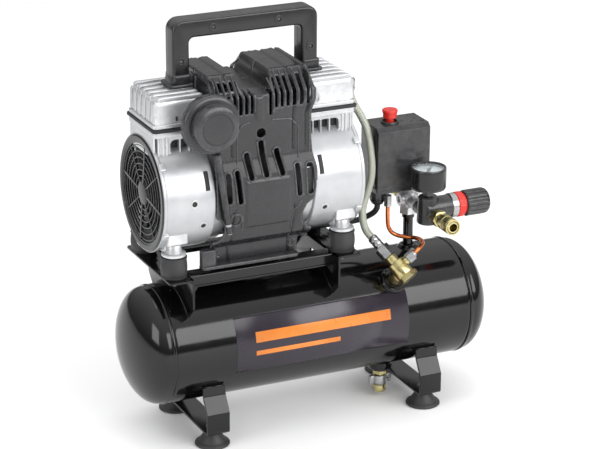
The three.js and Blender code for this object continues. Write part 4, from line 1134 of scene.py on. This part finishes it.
def cover_sheet(way, cell):
    """The cover's skin as a fine grid: points near the edge of a slot move onto it and the cells inside go."""
    line = rounded(COVER_LINE, [0, 8, 8, 6, 8, 8, 12, 8, 5, 0], 6, closed=False)
    reach = np.concatenate([[0], np.cumsum(np.linalg.norm(np.diff(line, axis=0), axis=1))])

    def along(height):
        return np.interp(-height, -line[:, 1], reach)

    cuts = [((a[0], along(a[1])), (b[0], along(b[1])), r) for a, b, r in COVER_SLOTS]
    cuts += [((u, along(high_w)), (u, along(low_w)), r) for u, low_w, high_w, r in COVER_LOUVRES]
    cuts += [((-51.4, along(-70)), (-51.3, along(-70)), 2.6), ((39.7, along(-70)), (39.8, along(-70)), 2.6)]
    bites = [((67.5, along(-31)), (67.6, along(-31)), 21), ((-67.5, along(-37)), (-67.6, along(-37)), 19)]
    gaps = [(62.0, 14.3)]

    def distance(u, s):
        nearest = np.full(np.broadcast(u, s).shape, 1e3)
        for a, b, r in cuts + bites:
            a, b = np.array(a), np.array(b)
            t = np.clip(((u - a[0]) * (b - a)[0] + (s - a[1]) * (b - a)[1]) / ((b - a) @ (b - a)), 0, 1)
            nearest = np.minimum(nearest, np.hypot(u - a[0] - t * (b - a)[0], s - a[1] - t * (b - a)[1]) - r)
        for centre, half in gaps:
            nearest = np.minimum(nearest, np.maximum(np.abs(u - centre) - half, along(-63) - s))
        return nearest

    across = np.linspace(-SHROUD_HALF, SHROUD_HALF, int(2 * SHROUD_HALF / cell) + 1)
    down = np.linspace(0, reach[-1], int(reach[-1] / cell) + 1)
    u, s = np.meshgrid(across, down, indexing="ij")
    for _ in range(2):
        d = distance(u, s)
        du = (distance(u + 0.05, s) - distance(u - 0.05, s)) / 0.1
        ds = (distance(u, s + 0.05) - distance(u, s - 0.05)) / 0.1
        near = (np.abs(d) < 0.71 * cell) * d
        u, s = u - near * du, s - near * ds
    points, quads = grid(cover_point(u, s, line, way))
    quads = np.array(quads)
    centre_u, centre_s = u.ravel()[quads].mean(1), s.ravel()[quads].mean(1)
    quads = quads[distance(centre_u, centre_s) > 0]
    used, index = np.unique(quads, return_inverse=True)
    sheet = (points[used], index.reshape(-1, 4).tolist())
    lips = []
    for a, b, r in cuts[:LIPPED_SLOTS]:
        a, b = np.array(a), np.array(b)
        heading = np.arctan2(*(b - a)[::-1])
        t = np.linspace(0, np.pi, 13)
        first = b + (r + 0.5) * np.stack([np.cos(heading + np.pi / 2 - t), np.sin(heading + np.pi / 2 - t)], 1)
        second = a + (r + 0.5) * np.stack([np.cos(heading - np.pi / 2 - t), np.sin(heading - np.pi / 2 - t)], 1)
        loop = np.vstack([first, second, first[:1]])
        loop = spline(loop, 90)
        lips.append(pipe(cover_point(loop[:, 0], loop[:, 1], line, way), 1.3, 10))
    turn = np.linspace(0, FULL, 41)
    boss = cover_point(-37.2 + 7.5 * np.cos(turn), along(-24.5) + 7.5 * np.sin(turn), line, way)
    lips.append(pipe(boss, 1.5, 10))
    for u, low_w, high_w, _ in COVER_LOUVRES:
        s = np.linspace(along(high_w + 6.5), along(low_w + 2), 24)
        lips.append(pipe(cover_point(u + 3.5 + 0 * s, s, line, way), 1.35, 10))
    for track in COVER_TRACKS:
        bend = rounded(track, 5, 4, closed=False)
        bend = spline(np.column_stack([bend, np.zeros(len(bend))]), 60)
        lips.append(pipe(cover_point(bend[:, 0], along(bend[:, 1]), line, way), 1.0, 10))
    near, far = between(way, 46, 56)
    lips.append(block((-75, near, -83), (-56, far, -60), 4, 1.6))
    for side in (-1, 1):
        (u0, u1), (near, far) = between(side, 57, 58.6), between(way, 0.4, 56)
        lips.append(block((u0, near, 50), (u1, far, 136), 8, 0.5, "x"))
    near, far = between(way, 44, 58)
    lips.append(block((-75, near, -83), (46, far, -78.6), 5, 1.6))
    return sheet, lips


class COMPRESSOR_OT_cover(bpy.types.Operator):
    """Makes both halves of the motor cover with their slots, lips and label panel"""

    bl_idname = "compressor.cover"
    bl_label = "Motor cover"

    def execute(self, context):
        s = context.scene.compressor.pump
        for word, way in (("front", FRONT), ("rear", REAR)):
            sheet, lips = cover_sheet(way, s.cover_cell / MM)
            skin = build(f"cover_skin_{word}", [sheet], FINISH["shroud"], origin=PUMP,
                         replaces=[f"shroud_{word}"], sharp=50)
            work = bmesh.new()
            work.from_mesh(skin.data)
            work.faces.ensure_lookup_table()
            outward = sum(f.normal.y * f.calc_area() for f in work.faces) * way
            if outward < 0:
                bmesh.ops.reverse_faces(work, faces=work.faces)
            work.to_mesh(skin.data)
            work.free()
            solidify(skin, s.cover_wall / MM)
            screws = [aim(p, (u, way * 44.6, w), (0, way, 0)) for u, w in ((-51.4, -70), (39.7, -70))
                      for p in screw(2.3, 1.6)]
            build(f"cover_lips_{word}", lips + screws, FINISH["shroud"], origin=PUMP)
        return {"FINISHED"}


class COMPRESSOR_OT_handle(bpy.types.Operator):
    """Makes the two halves of the carrying handle with their screws"""

    bl_idname = "compressor.handle"
    bl_label = "Carrying handle"

    def execute(self, context):
        foot, top = low("handle_front")[2] - PUMP[2], high("handle_front")[2] - PUMP[2]
        half, post = 88.8, 20.0
        inner = half - post
        outer = [[half + 3.6, foot], [half, foot + 13], [half, top], [-half, top], [-half, foot + 13],
                 [-half - 3.6, foot]]
        inside = [[-inner + 3, foot], [-inner, foot + 11], [-inner, top - 21], [inner, top - 21],
                  [inner, foot + 11],
                  [inner - 3, foot]]
        radii = [3.6, 8, 13, 13, 8, 3.6, 3.6, 6, 6, 6, 6, 3.6]
        outline = rounded(outer + inside, radii, 7)
        for word, way in (("front", FRONT), ("rear", REAR)):
            t = np.linspace(0, np.pi / 2, 6)
            r = 3.2
            levels = np.vstack([[[0.25, 0.15], [0, 0.4]],
                                np.stack([r * (1 - np.cos(t)), 12 - r * (1 - np.sin(t))], 1)])
            shell = face(slab(outline, levels), "y")
            spots = [(-40, top - 11), (40, top - 11), (-half + 9.5, foot + 30), (half - 9.5, foot + 30)]
            shapes = [(shell[0] * (1, way, 1), shell[1])]
            for side in (-1, 1):
                u0, u1 = between(side, inner - 4, half + 5)
                near, far = between(way, 0.3, 16)
                shapes.append(block((u0, near, foot), (u1, far, foot + 4.4), 3, 1.6))
                near, far = between(way, 0.3, 13.6)
                shapes.append(block((u0 + 5, near, foot + 3), (u1 - 3, far, foot + 15), 3, 2.4))
            build(f"handle_shell_{word}", shapes, FINISH["plastic"], origin=PUMP,
                  replaces=[f"handle_{word}"])
            screws = []
            for u, w in spots:
                seat = aim(lathe(rounded([(2.9, -1), (2.9, 1.0), (4.8, 1.0), (5.4, -1)], 0.4, 2), 36,
                                 ring=True),
                           (u, way * 12, w), (0, way, 0))
                screws.append(seat)
                screws += [aim(p, (u, way * 11.9, w), (0, way, 0)) for p in screw(2.4, 0.5)]
            build(f"handle_screws_{word}", screws, FINISH["plastic"], origin=PUMP)
        return {"FINISHED"}


class COMPRESSOR_OT_intake(bpy.types.Operator):
    """Makes the intake filter with its stepped cap, and the slanted breather tube"""

    bl_idname = "compressor.intake"
    bl_label = "Intake filter"

    def execute(self, context):
        centre = middle("intake_filter_cap") * (1, 0, 1) + (0, PUMP[1], 0)
        y = [high("intake_filter_base")[1] - PUMP[1], -76, -92]
        base = [(0, -y[0]), (8, -y[0]), (8, 61.5), (20, 61.8), (31.4, 62.2), (33.4, 63.4), (34, 65), (34, 72.5),
                (33.5, 74),
                (31.8, 75.4), (28, 75.9), (0, 76)]
        cap = [(0, 76.3), (25.4, 76.3), (26, 77), (26, 88.4), (25.4, 90.4), (23.8, 91.4), (18.4, 91.7),
               (18, 91.3), (17.4, 91.3),
               (17, 91.7), (12, 92), (0, 92)]
        for name, profile, node in (("filter_base", base, "intake_filter_base"),
                                    ("filter_cap", cap, "intake_filter_cap")):
            build(name, [aim(lathe(profile, 96), centre, (0, -1, 0))], FINISH["shroud"],
                  replaces=[node])
        ribs = []
        for i in range(24):
            angle = i * FULL / 24
            rib = block((-0.8, 32.6, 64.6), (0.8, 34.3, 73.2), 0.6, 0.6)
            ribs.append(aim(rib, centre, (0, -1, 0), angle))
        build("filter_ribs", ribs, FINISH["shroud"])
        a, b = np.array(((-138.4, -71, 357.5), (-124.2, -71, 262))) + TANK * (0, 1, 0)
        length = np.linalg.norm(b - a)
        rod = (b - a) / length
        tube = [(0, 0), (3.4, 0), (4, 0.8), (4, length - 14), (3.6, length - 13), (3.6, length - 0.6),
                (3, length), (0, length)]
        build("breather", [aim(lathe(tube, 32), a, rod)], FINISH["plastic"],
              replaces=["breather_tube"])
        tip = [(0, length - 12), (3.9, length - 12), (3.9, length - 9.4), (3.1, length - 9),
               (3.1, length + 0.4), (0, length + 0.4)]
        build("breather_tip", [aim(lathe(tip, 32), a, rod)], FINISH["steel"])
        return {"FINISHED"}


# ---- Fittings ---------------------------------------------------------------------------------------


class COMPRESSOR_OT_valves(bpy.types.Operator):
    """Makes the hose elbow, the hose's nuts, the check valve and the copper tube"""

    bl_idname = "compressor.valves"
    bl_label = "Hose ends and check valve"

    def execute(self, context):
        offset = TANK * (0, 1, 0)
        top = np.array(HOSE_ROUTE[0], float) + offset
        elbow_z = middle("head_link_tube")[2] - 1.0
        start = low("hose_elbow")[0]
        bend = rounded([[start, elbow_z], [top[0], elbow_z], [top[0], top[2] - 1]], [0, 6, 0], 8, closed=False)
        path = np.stack([bend[:, 0], np.full(len(bend), top[1]), bend[:, 1]], 1)
        elbow = [pipe(path, 4.6, 24)]
        elbow += [aim(s, (start, top[1], elbow_z), (1, 0, 0)) for s in nut(12, 5.5)]
        elbow += [aim(lathe([(0, 0), (5.4, 0), (5.7, 0.8), (5.7, 3), (5.3, 3.6), (5.3, 5), (5.7, 5.6),
                             (5.7, 12.4), (5, 13.4),
                             (0, 13.4)], 40), top + (0, 0, 0.6), (0, 0, 1))]
        build("elbow_fitting", elbow, FINISH["steel"], replaces=["hose_elbow"])

        ferrule = [(0, 34), (5.2, 34), (5.9, 35), (5.9, 39), (5.5, 39.8), (5.9, 40.6), (5.9, 45), (5.5, 45.8),
                   (5.9, 46.6),
                   (5.9, 50.8), (5.2, 52), (0, 52)]
        ends = [aim(lathe(ferrule, 40), VALVE, -ALONG)]
        ends += [aim(s, VALVE - ALONG * 36, ALONG) for s in nut(15.8, 15.4)]
        build("hose_swivel_nut", ends, FINISH["steel"], replaces=["hose_nut"])

        stem = [(0, -30), (7.2, -30), (7.2, -22), (9.4, -21.6), (9.6, -21), (9.6, -8), (9, -6), (0, -6)]
        barrel = [(0, -20), (6.6, -20), (6.6, -11.4), (10, -11), (10.8, -10.2), (10.8, -4), (10.3, -3.6),
                  (10.3, -2.8),
                  (10.8, -2.4), (10.8, 7.4), (10, 9), (0, 9)]
        body = [aim(lathe(stem, 48), VALVE, RADIAL), aim(lathe(barrel, 48), VALVE, ALONG)]
        body += [aim(s, VALVE + ALONG * 8, ALONG) for s in nut(22.4, 6.6, 0, 1.4)]
        port = VALVE - ALONG * 4.5
        body.append(aim(lathe([(0, 2), (5.4, 2), (5.4, 13), (0, 13)], 32), port, PORT))
        build("check_valve", body, FINISH["brass"], replaces=["check_valve_body"])

        route = spline(np.array(TUBE_ROUTE) + offset, 150)
        build("copper_tube", [pipe(route, 2.5, 18)], FINISH["copper"],
              replaces=["unloader_tube"])
        nuts = [aim(s, port + PORT * 13.3, PORT) for s in nut(11, 9.5)]
        nuts.append(aim(lathe([(0, 22), (4.4, 22), (4.2, 24), (3, 25.4), (0, 25.4)], 28), port, PORT))
        nuts += [aim(s, route[0] - (0, 0, 1.6), (0, 0, 1)) for s in nut(8.6, 14)]
        build("tube_nuts", nuts, FINISH["steel"])
        return {"FINISHED"}


class COMPRESSOR_OT_switch(bpy.types.Operator):
    """Makes the pressure switch with its chamfered cover, the red knob, the stand pipe and the manifold"""

    bl_idname = "compressor.switch"
    bl_label = "Pressure switch"

    def execute(self, context):
        (x0, y0, z0), (x1, y1, z1) = low("switch_cover"), high("switch_cover")
        side = rounded([[y0, z0], [y1, z0], [y1, z1 - 4], [y1 - 3, z1], [y0 + 5.5, z1], [y0, z1 - 5.5]],
                       [1.2, 1.2, 1.5, 1.5, 0.8, 0.8], 4)
        cover = face(slab(side, edges(x0, x1, 1.6)), "x")
        knob = middle("on_off_knob") * (1, 1, 0)
        bezel = aim(lathe(rounded([(8.6, -1), (8.6, 3.0), (10.2, 3.0), (11, -1)], 0.5, 3), 56, ring=True),
                    knob + (0, 0, z1), (0, 0, 1))
        lip = slab(oblong(x0 - 0.6, x1 + 0.6, y0 - 0.6, y1 + 0.6, 2), edges(z0 + 5, z0 + 8, 0.8))
        build("switch_box", [cover, bezel, lip], FINISH["switch"],
              replaces=["switch_cover"])
        marks = [aim(lathe([(0, 0.12), (1.7, 0.12), (1.7, -0.6), (0, -0.6)], 20), knob + (dx, dy, z1),
                     (0, 0, 1))
                 for dx, dy in ((17, 3), (26, -5), (34, 4))]
        slot_mark = [aim(lathe([(0, 0.15), (3.0, 0.15), (3.0, -0.6), (0, -0.6)], 28), (x1 - 6, y0 + 11, z1),
                         (0, 0, 1))]
        build("switch_marks", marks + slot_mark, FINISH["gasket"])

        base = [slab(oblong(x0 + 2.6, x1 - 2.6, y0 + 2.6, y1 - 2.6, 2), edges(z0 - 0.3, z0 + 7, 0.8))]
        inlet = np.array(LEAD_ROUTE[0], float) + TANK * (0, 1, 0)
        drop = z0 - inlet[2]
        gland = [(0, 0.3), (6.2, 0.3), (7, 1), (8.9, 4.6), (9, 5.6), (8.6, 6.2), (9, 6.8), (9, drop), (0, drop)]
        base.append(aim(lathe(gland, 44), inlet, (0, 0, 1)))
        for i in range(10):
            ridge = block((-0.7, 8.5, 7), (0.7, 9.4, drop - 0.6), 0.4, 0.4)
            base.append(aim(ridge, inlet, (0, 0, 1), i * FULL / 10))
        build("switch_foot", base, FINISH["plastic"], replaces=["switch_base"])

        top = high("on_off_knob")[2] - z1 - 3.2
        profile = [(0, -16), (5, -16), (5, 6.6), (7.6, 6.7), (8.2, 7.4), (8.2, 11), (9, 13.6), (9.3, 14.8),
                   (9.3, top - 1.4),
                   (8.6, top - 0.4), (7.4, top), (3, top - 0.6), (0, top - 0.7)]
        build("red_knob", [aim(lathe(profile, 64), knob + (0, 0, z1), (0, 0, 1))], FINISH["red"],
              body="power_knob",
              replaces=["on_off_knob"])

        x, y = PIPE[0], TANK[1]
        foot = low("stand_pipe")[2]
        rise = high("stand_pipe")[2] - foot
        tube = [(0, 0), (6, 0), (6, rise - 5), (7.6, rise - 4.6), (7.6, rise), (0, rise)]
        build("stand_tube", [aim(lathe(tube, 40), (x, y, foot), (0, 0, 1))], FINISH["tank_paint"],
              replaces=["stand_pipe"])
        body = [aim(s, (x, y, 225), (0, 0, 1)) for s in nut(19.6, 9)]
        body.append(aim(lathe([(0, 0), (9.6, 0), (9.9, 1.2), (9.9, 16), (9, 17.6), (0, 17.6)], 48),
                        (x, y, 233.6), (0, 0, 1)))
        body += [aim(s, (x, y, 250.6), (0, 0, 1)) for s in nut(15, 11)]
        for direction, reach, dz in (((1, 0, 0), 13, 243), ((-1, 0, 0), 13, 243), ((0, 1, 0), 12, 241),
                                     ((0, -1, 0), 26, 241)):
            arm = [(0, 0), (7, 0), (7, reach - 4.4), (8.1, reach - 4), (8.1, reach - 0.6), (7.5, reach),
                   (4, reach),
                   (3.6, reach - 1.6), (0, reach - 1.6)]
            body.append(aim(lathe(arm, 40), (x, y, dz), direction))
        build("manifold_block", body, FINISH["casting"], replaces=["manifold"])
        return {"FINISHED"}


def fluted(profile, flutes, depth, start, end, steps=96):
    """A turned profile whose radius dips in even flutes round it, between two heights."""
    points, faces = lathe(profile, steps)
    angle = np.arctan2(points[:, 1], points[:, 0])
    radius = np.hypot(points[:, 0], points[:, 1])
    inside = (points[:, 2] >= start - 1e-6) & (points[:, 2] <= end + 1e-6) & (radius > 6)
    wave = 1 - inside * depth * (0.5 + 0.5 * np.cos(flutes * angle)) ** 2 / np.maximum(radius, 1)
    return np.stack([points[:, 0] * wave, points[:, 1] * wave, points[:, 2]], 1), faces


class COMPRESSOR_OT_regulator(bpy.types.Operator):
    """Makes the regulator with its fluted knob, the gauge with its dial, and the coupler"""

    bl_idname = "compressor.regulator"
    bl_label = "Regulator and gauge"

    def execute(self, context):
        at = REGULATOR
        x_way = (1, 0, 0)
        post = [(0, -17.2), (11.6, -17.2), (12.8, -16), (13, -14), (12.2, 8), (11.5, 15), (10.6, 16), (0, 16)]
        body = [aim(lathe(post, 56), at, (0, 0, 1))]
        body.append(aim(lathe([(0, -6), (12.6, -6), (13.5, -5), (13.5, 24), (13.1, 27), (0, 27)], 56), at,
                        x_way))
        body.append(aim(lathe([(0, -23.6), (8, -23.6), (8, 16), (0, 16)], 40), at - (0, 0, 5), (0, -1, 0)))
        build("regulator_case", body, FINISH["plastic"], replaces=["regulator_body"])
        silver = [(0, 27.1), (13.9, 27.1), (14.6, 27.7), (14.6, 34.6), (14, 35.4), (0, 35.4)]
        build("regulator_ring", [aim(lathe(silver, 72), at, x_way)], FINISH["steel"])
        red = [(0, 35.5), (14.2, 35.5), (15.0, 36.4), (15.0, 43.4), (14, 44.2), (12.6, 44.4), (12.6, 46.4),
               (0, 46.4)]
        build("regulator_red_ring", [aim(fluted(red, 24, 0.5, 36.4, 43.4), at, x_way)], FINISH["red"],
              replaces=["regulator_collar"])
        knob = [(0, 46.8), (14.4, 46.8), (15.6, 48), (15.6, 72), (15, 74.6), (13.4, 76.4), (11, 77), (8, 76.4),
                (0, 76.2)]
        build("regulator_cap", [aim(fluted(knob, 18, 0.8, 48, 74.6, 144), at, x_way)], FINISH["plastic"],
              body="regulator_knob", replaces=["regulator_knob"])

        up = (0, 0, 1)
        case = [(0, 25), (17, 25), (19.6, 25.8), (20.9, 28), (21, 30), (21, 47), (21.0, 51), (20.4, 52),
                (19.2, 52), (18.6, 51.2),
                (18.6, 46.5), (0, 46.4)]
        gauge = [aim(lathe(case, 96), at, up)]
        gauge += [aim(s, at + (0, 0, 16.3), up) for s in nut(11.6, 9)]
        build("gauge_shell", gauge, FINISH["plastic"], replaces=["gauge_case"])
        build("gauge_dial", [aim(lathe([(0, 46.7), (18.4, 46.7), (18.4, 46.5), (0, 46.5)], 72), at, up)],
              FINISH["dial"])
        ticks = []
        for i in range(41):
            angle = np.radians(225 - i * 270 / 40 + 180)
            long = 3.4 if i % 5 == 0 else 1.8
            tick = block((-0.22, 17 - long, 46.72), (0.22, 17, 46.84), 0.02, 0.02)
            ticks.append(aim(tick, at, up, angle))
        build("gauge_ticks", ticks, FINISH["ink"])
        for i in range(9):
            angle = np.radians(225 - i * 270 / 8 + 270)
            curve = bpy.data.curves.new(f"gauge_number_{i}", "FONT")
            curve.body = str(i * 2)
            curve.size, curve.align_x, curve.align_y = 3.4 * MM, "CENTER", "CENTER"
            spot = at + np.array((-np.sin(angle), np.cos(angle), 0)) * 11.4 + (0, 0, 46.8)
            text = bpy.data.objects.new("number", curve)
            mesh = text.to_mesh()
            flat = np.array([v.co for v in mesh.vertices]) / MM
            shape = (flat + spot, [list(p.vertices) for p in mesh.polygons])
            build(f"gauge_figure_{i}", [shape], FINISH["ink"])
            bpy.data.objects.remove(text)
            bpy.data.curves.remove(curve)
        hand = [aim(lathe([(0, 46.9), (2.4, 46.9), (2.4, 47.7), (1.6, 48.1), (0, 48.1)], 32), at, up)]
        line = slab([[-1.1, -5], [1.1, -5], [0.35, 13.6], [-0.35, 13.6]], edges(47.0, 47.5, 0.05))
        hand.append(aim(line, at, up, np.radians(135)))
        build("gauge_hand", hand, FINISH["ink"], body="needle", replaces=["gauge_needle"])
        glass = [(0, 48.6), (18.5, 48.6), (18.5, 50.4), (17.8, 51), (0, 51)]
        build("gauge_window", [aim(lathe(glass, 96), at, up)], FINISH["glass"],
              replaces=["gauge_lens"])

        spot, out = at + (3, 0, -5), (0, -1, 0)
        body = [aim(s, spot - (0, 16.3, 0), out) for s in nut(17.6, 11.7, 0, 1.2)]
        tube = [(5.0, 27), (7.2, 27), (7.2, 34), (6.8, 34.6), (6.8, 35.4), (7.2, 36), (7.2, 57), (6.4, 58),
                (5, 58), (5, 56)]
        body.append(aim(lathe(tube, 56, ring=True), spot, out))
        body.append(aim(lathe([(0, 26), (5.4, 26), (5.4, 30), (0, 30)], 32), spot, out))
        build("coupler_tube", body, FINISH["brass"], replaces=["coupler_body"])
        sleeve = [(7.6, 36), (8.8, 36), (9.5, 36.8), (9.5, 42), (8.9, 42.6), (8.9, 44), (9.5, 44.6), (9.5, 55),
                  (9.1, 55.4),
                  (9.1, 56.4), (9.5, 56.8), (9.3, 57.5), (7.6, 57.5)]
        build("coupler_grip", [aim(fluted(sleeve + sleeve[:1], 36, 0.35, 44.6, 55, 144), spot, out)],
              FINISH["brass"],
              body="coupler_sleeve", replaces=["coupler_sleeve"])
        return {"FINISHED"}


class COMPRESSOR_OT_outlets(bpy.types.Operator):
    """Makes the drain valve with its wing, and the safety valve with its ring"""

    bl_idname = "compressor.outlets"
    bl_label = "Drain and safety valve"

    def execute(self, context):
        at = middle("drain_valve_body") * (1, 1, 0)
        under = TANK[2] - TANK_R
        up = (0, 0, 1)
        body = [aim(s, at + (0, 0, under - 11), up) for s in nut(16, 5.2)]
        body.append(aim(lathe([(0, -10), (5.6, -10), (5.6, -26), (5, -26), (0, -26)][::-1], 36),
                        at + (0, 0, under), up))
        tip = [(0, -34.5), (5, -34.5), (7.2, -33.8), (8.1, -32.2), (8.1, -28), (7.6, -26.4), (7.8, -24.8),
               (6, -24.5), (0, -24.5)]
        body.append(aim(lathe(tip, 48), at + (0, 0, under), up))
        build("drain_valve", body, FINISH["brass"], replaces=["drain_valve_body"])
        ring = rounded([(6.1, -23.8), (8.6, -23.8), (8.6, -12.7), (6.1, -12.7)], 0.7, 3)
        wing = [aim(lathe(ring, 48, ring=True), at + (0, 0, under), up)]
        for way, hole in ((1, True), (-1, False)):
            x = sorted((way * 7.6, way * 14))
            plate = rounded([[x[0], -23.5], [x[1], -23.5], [x[1], -13], [x[0], -13]], 2.4 if way > 0 else 1.6)
            holes = [circle(1.9, 24, (11, -18))] if hole else []
            wing.append(shift(face(slab(plate, edges(-3, 3, 1.0), holes=holes), "y"), at + (0, 0, under)))
        build("drain_wing_nut", wing, FINISH["steel"], body="drain_wing", replaces=["drain_wing"])

        x, z = PIPE[0], 241.0
        spot = np.array((x, TANK[1], z))
        out = (0, 1, 0)
        valve = [aim(s, spot + (0, 12.4, 0), out) for s in nut(14, 7.6)]
        tube = [(2.7, 19), (5.5, 19), (5.5, 24), (4.9, 24.6), (5.5, 25.2), (5.5, 36.6), (4.8, 38), (2.7, 38)]
        valve.append(aim(lathe(tube, 40, ring=True), spot, out))
        build("safety_valve", valve, FINISH["brass"], replaces=["safety_valve_body"])
        pin = [(0, 31), (2, 31), (2.1, 40), (2.1, 42.4), (0, 42.4)]
        t = np.linspace(0, FULL, 49)
        hoop = spot + np.stack([0 * t, 47.5 + 6 * np.cos(t), 6 * np.sin(t)], 1)
        build("pull_ring", [aim(lathe(pin, 24), spot, out), pipe(hoop, 0.9, 12)], FINISH["steel"],
              body="safety_ring",
              replaces=["safety_valve_ring"])
        return {"FINISHED"}


class COMPRESSOR_OT_inner(bpy.types.Operator):
    """Gives the inner frame pieces that stay as they are their own finishes"""

    bl_idname = "compressor.inner"
    bl_label = "Inner pieces"

    def execute(self, context):
        kept = {
            "motor_stator": "laminations", "motor_shaft": "steel", "head_link_tube": "steel",
            "piston_left": "casting",
            "piston_right": "casting", "regulator_stem": "steel",
        }
        for node, finish in kept.items():
            piece = bpy.data.objects[node]
            for place in piece.material_slots:
                place.material = FINISH[finish]
        return {"FINISHED"}


# ---- Panel and main ---------------------------------------------------------------------------------

STEPS = (
    COMPRESSOR_OT_stage, COMPRESSOR_OT_cords, COMPRESSOR_OT_tank, COMPRESSOR_OT_feet, COMPRESSOR_OT_saddle,
    COMPRESSOR_OT_castings, COMPRESSOR_OT_fans, COMPRESSOR_OT_cover, COMPRESSOR_OT_handle, COMPRESSOR_OT_intake,
    COMPRESSOR_OT_valves, COMPRESSOR_OT_switch, COMPRESSOR_OT_regulator, COMPRESSOR_OT_outlets,
    COMPRESSOR_OT_inner,
)


class COMPRESSOR_PT_panel(bpy.types.Panel):
    """Lists the steps that build the compressor and their settings"""

    bl_label = "Compressor"
    bl_idname = "COMPRESSOR_PT_panel"
    bl_space_type = "VIEW_3D"
    bl_region_type = "UI"
    bl_category = "Compressor"

    def draw(self, context):
        settings = context.scene.compressor
        for group in (settings.tank, settings.pump, settings.stage):
            box = self.layout.box()
            for key in group.bl_rna.properties.keys():
                if key not in ("rna_type", "name"):
                    box.prop(group, key)
        for step in STEPS:
            self.layout.operator(step.bl_idname)


CLASSES = (TankSettings, PumpSettings, StageSettings, CompressorSettings, *STEPS, COMPRESSOR_PT_panel)


def register():
    for item in CLASSES:
        bpy.utils.register_class(item)
    bpy.types.Scene.compressor = bpy.props.PointerProperty(type=CompressorSettings)


def unregister():
    del bpy.types.Scene.compressor
    for item in reversed(CLASSES):
        bpy.utils.unregister_class(item)


def main():
    """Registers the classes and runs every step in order."""
    register()
    mix_finishes()
    for step in STEPS:
        group, name = step.bl_idname.split(".")
        getattr(getattr(bpy.ops, group), name)()


if __name__ == "__main__":
    main()
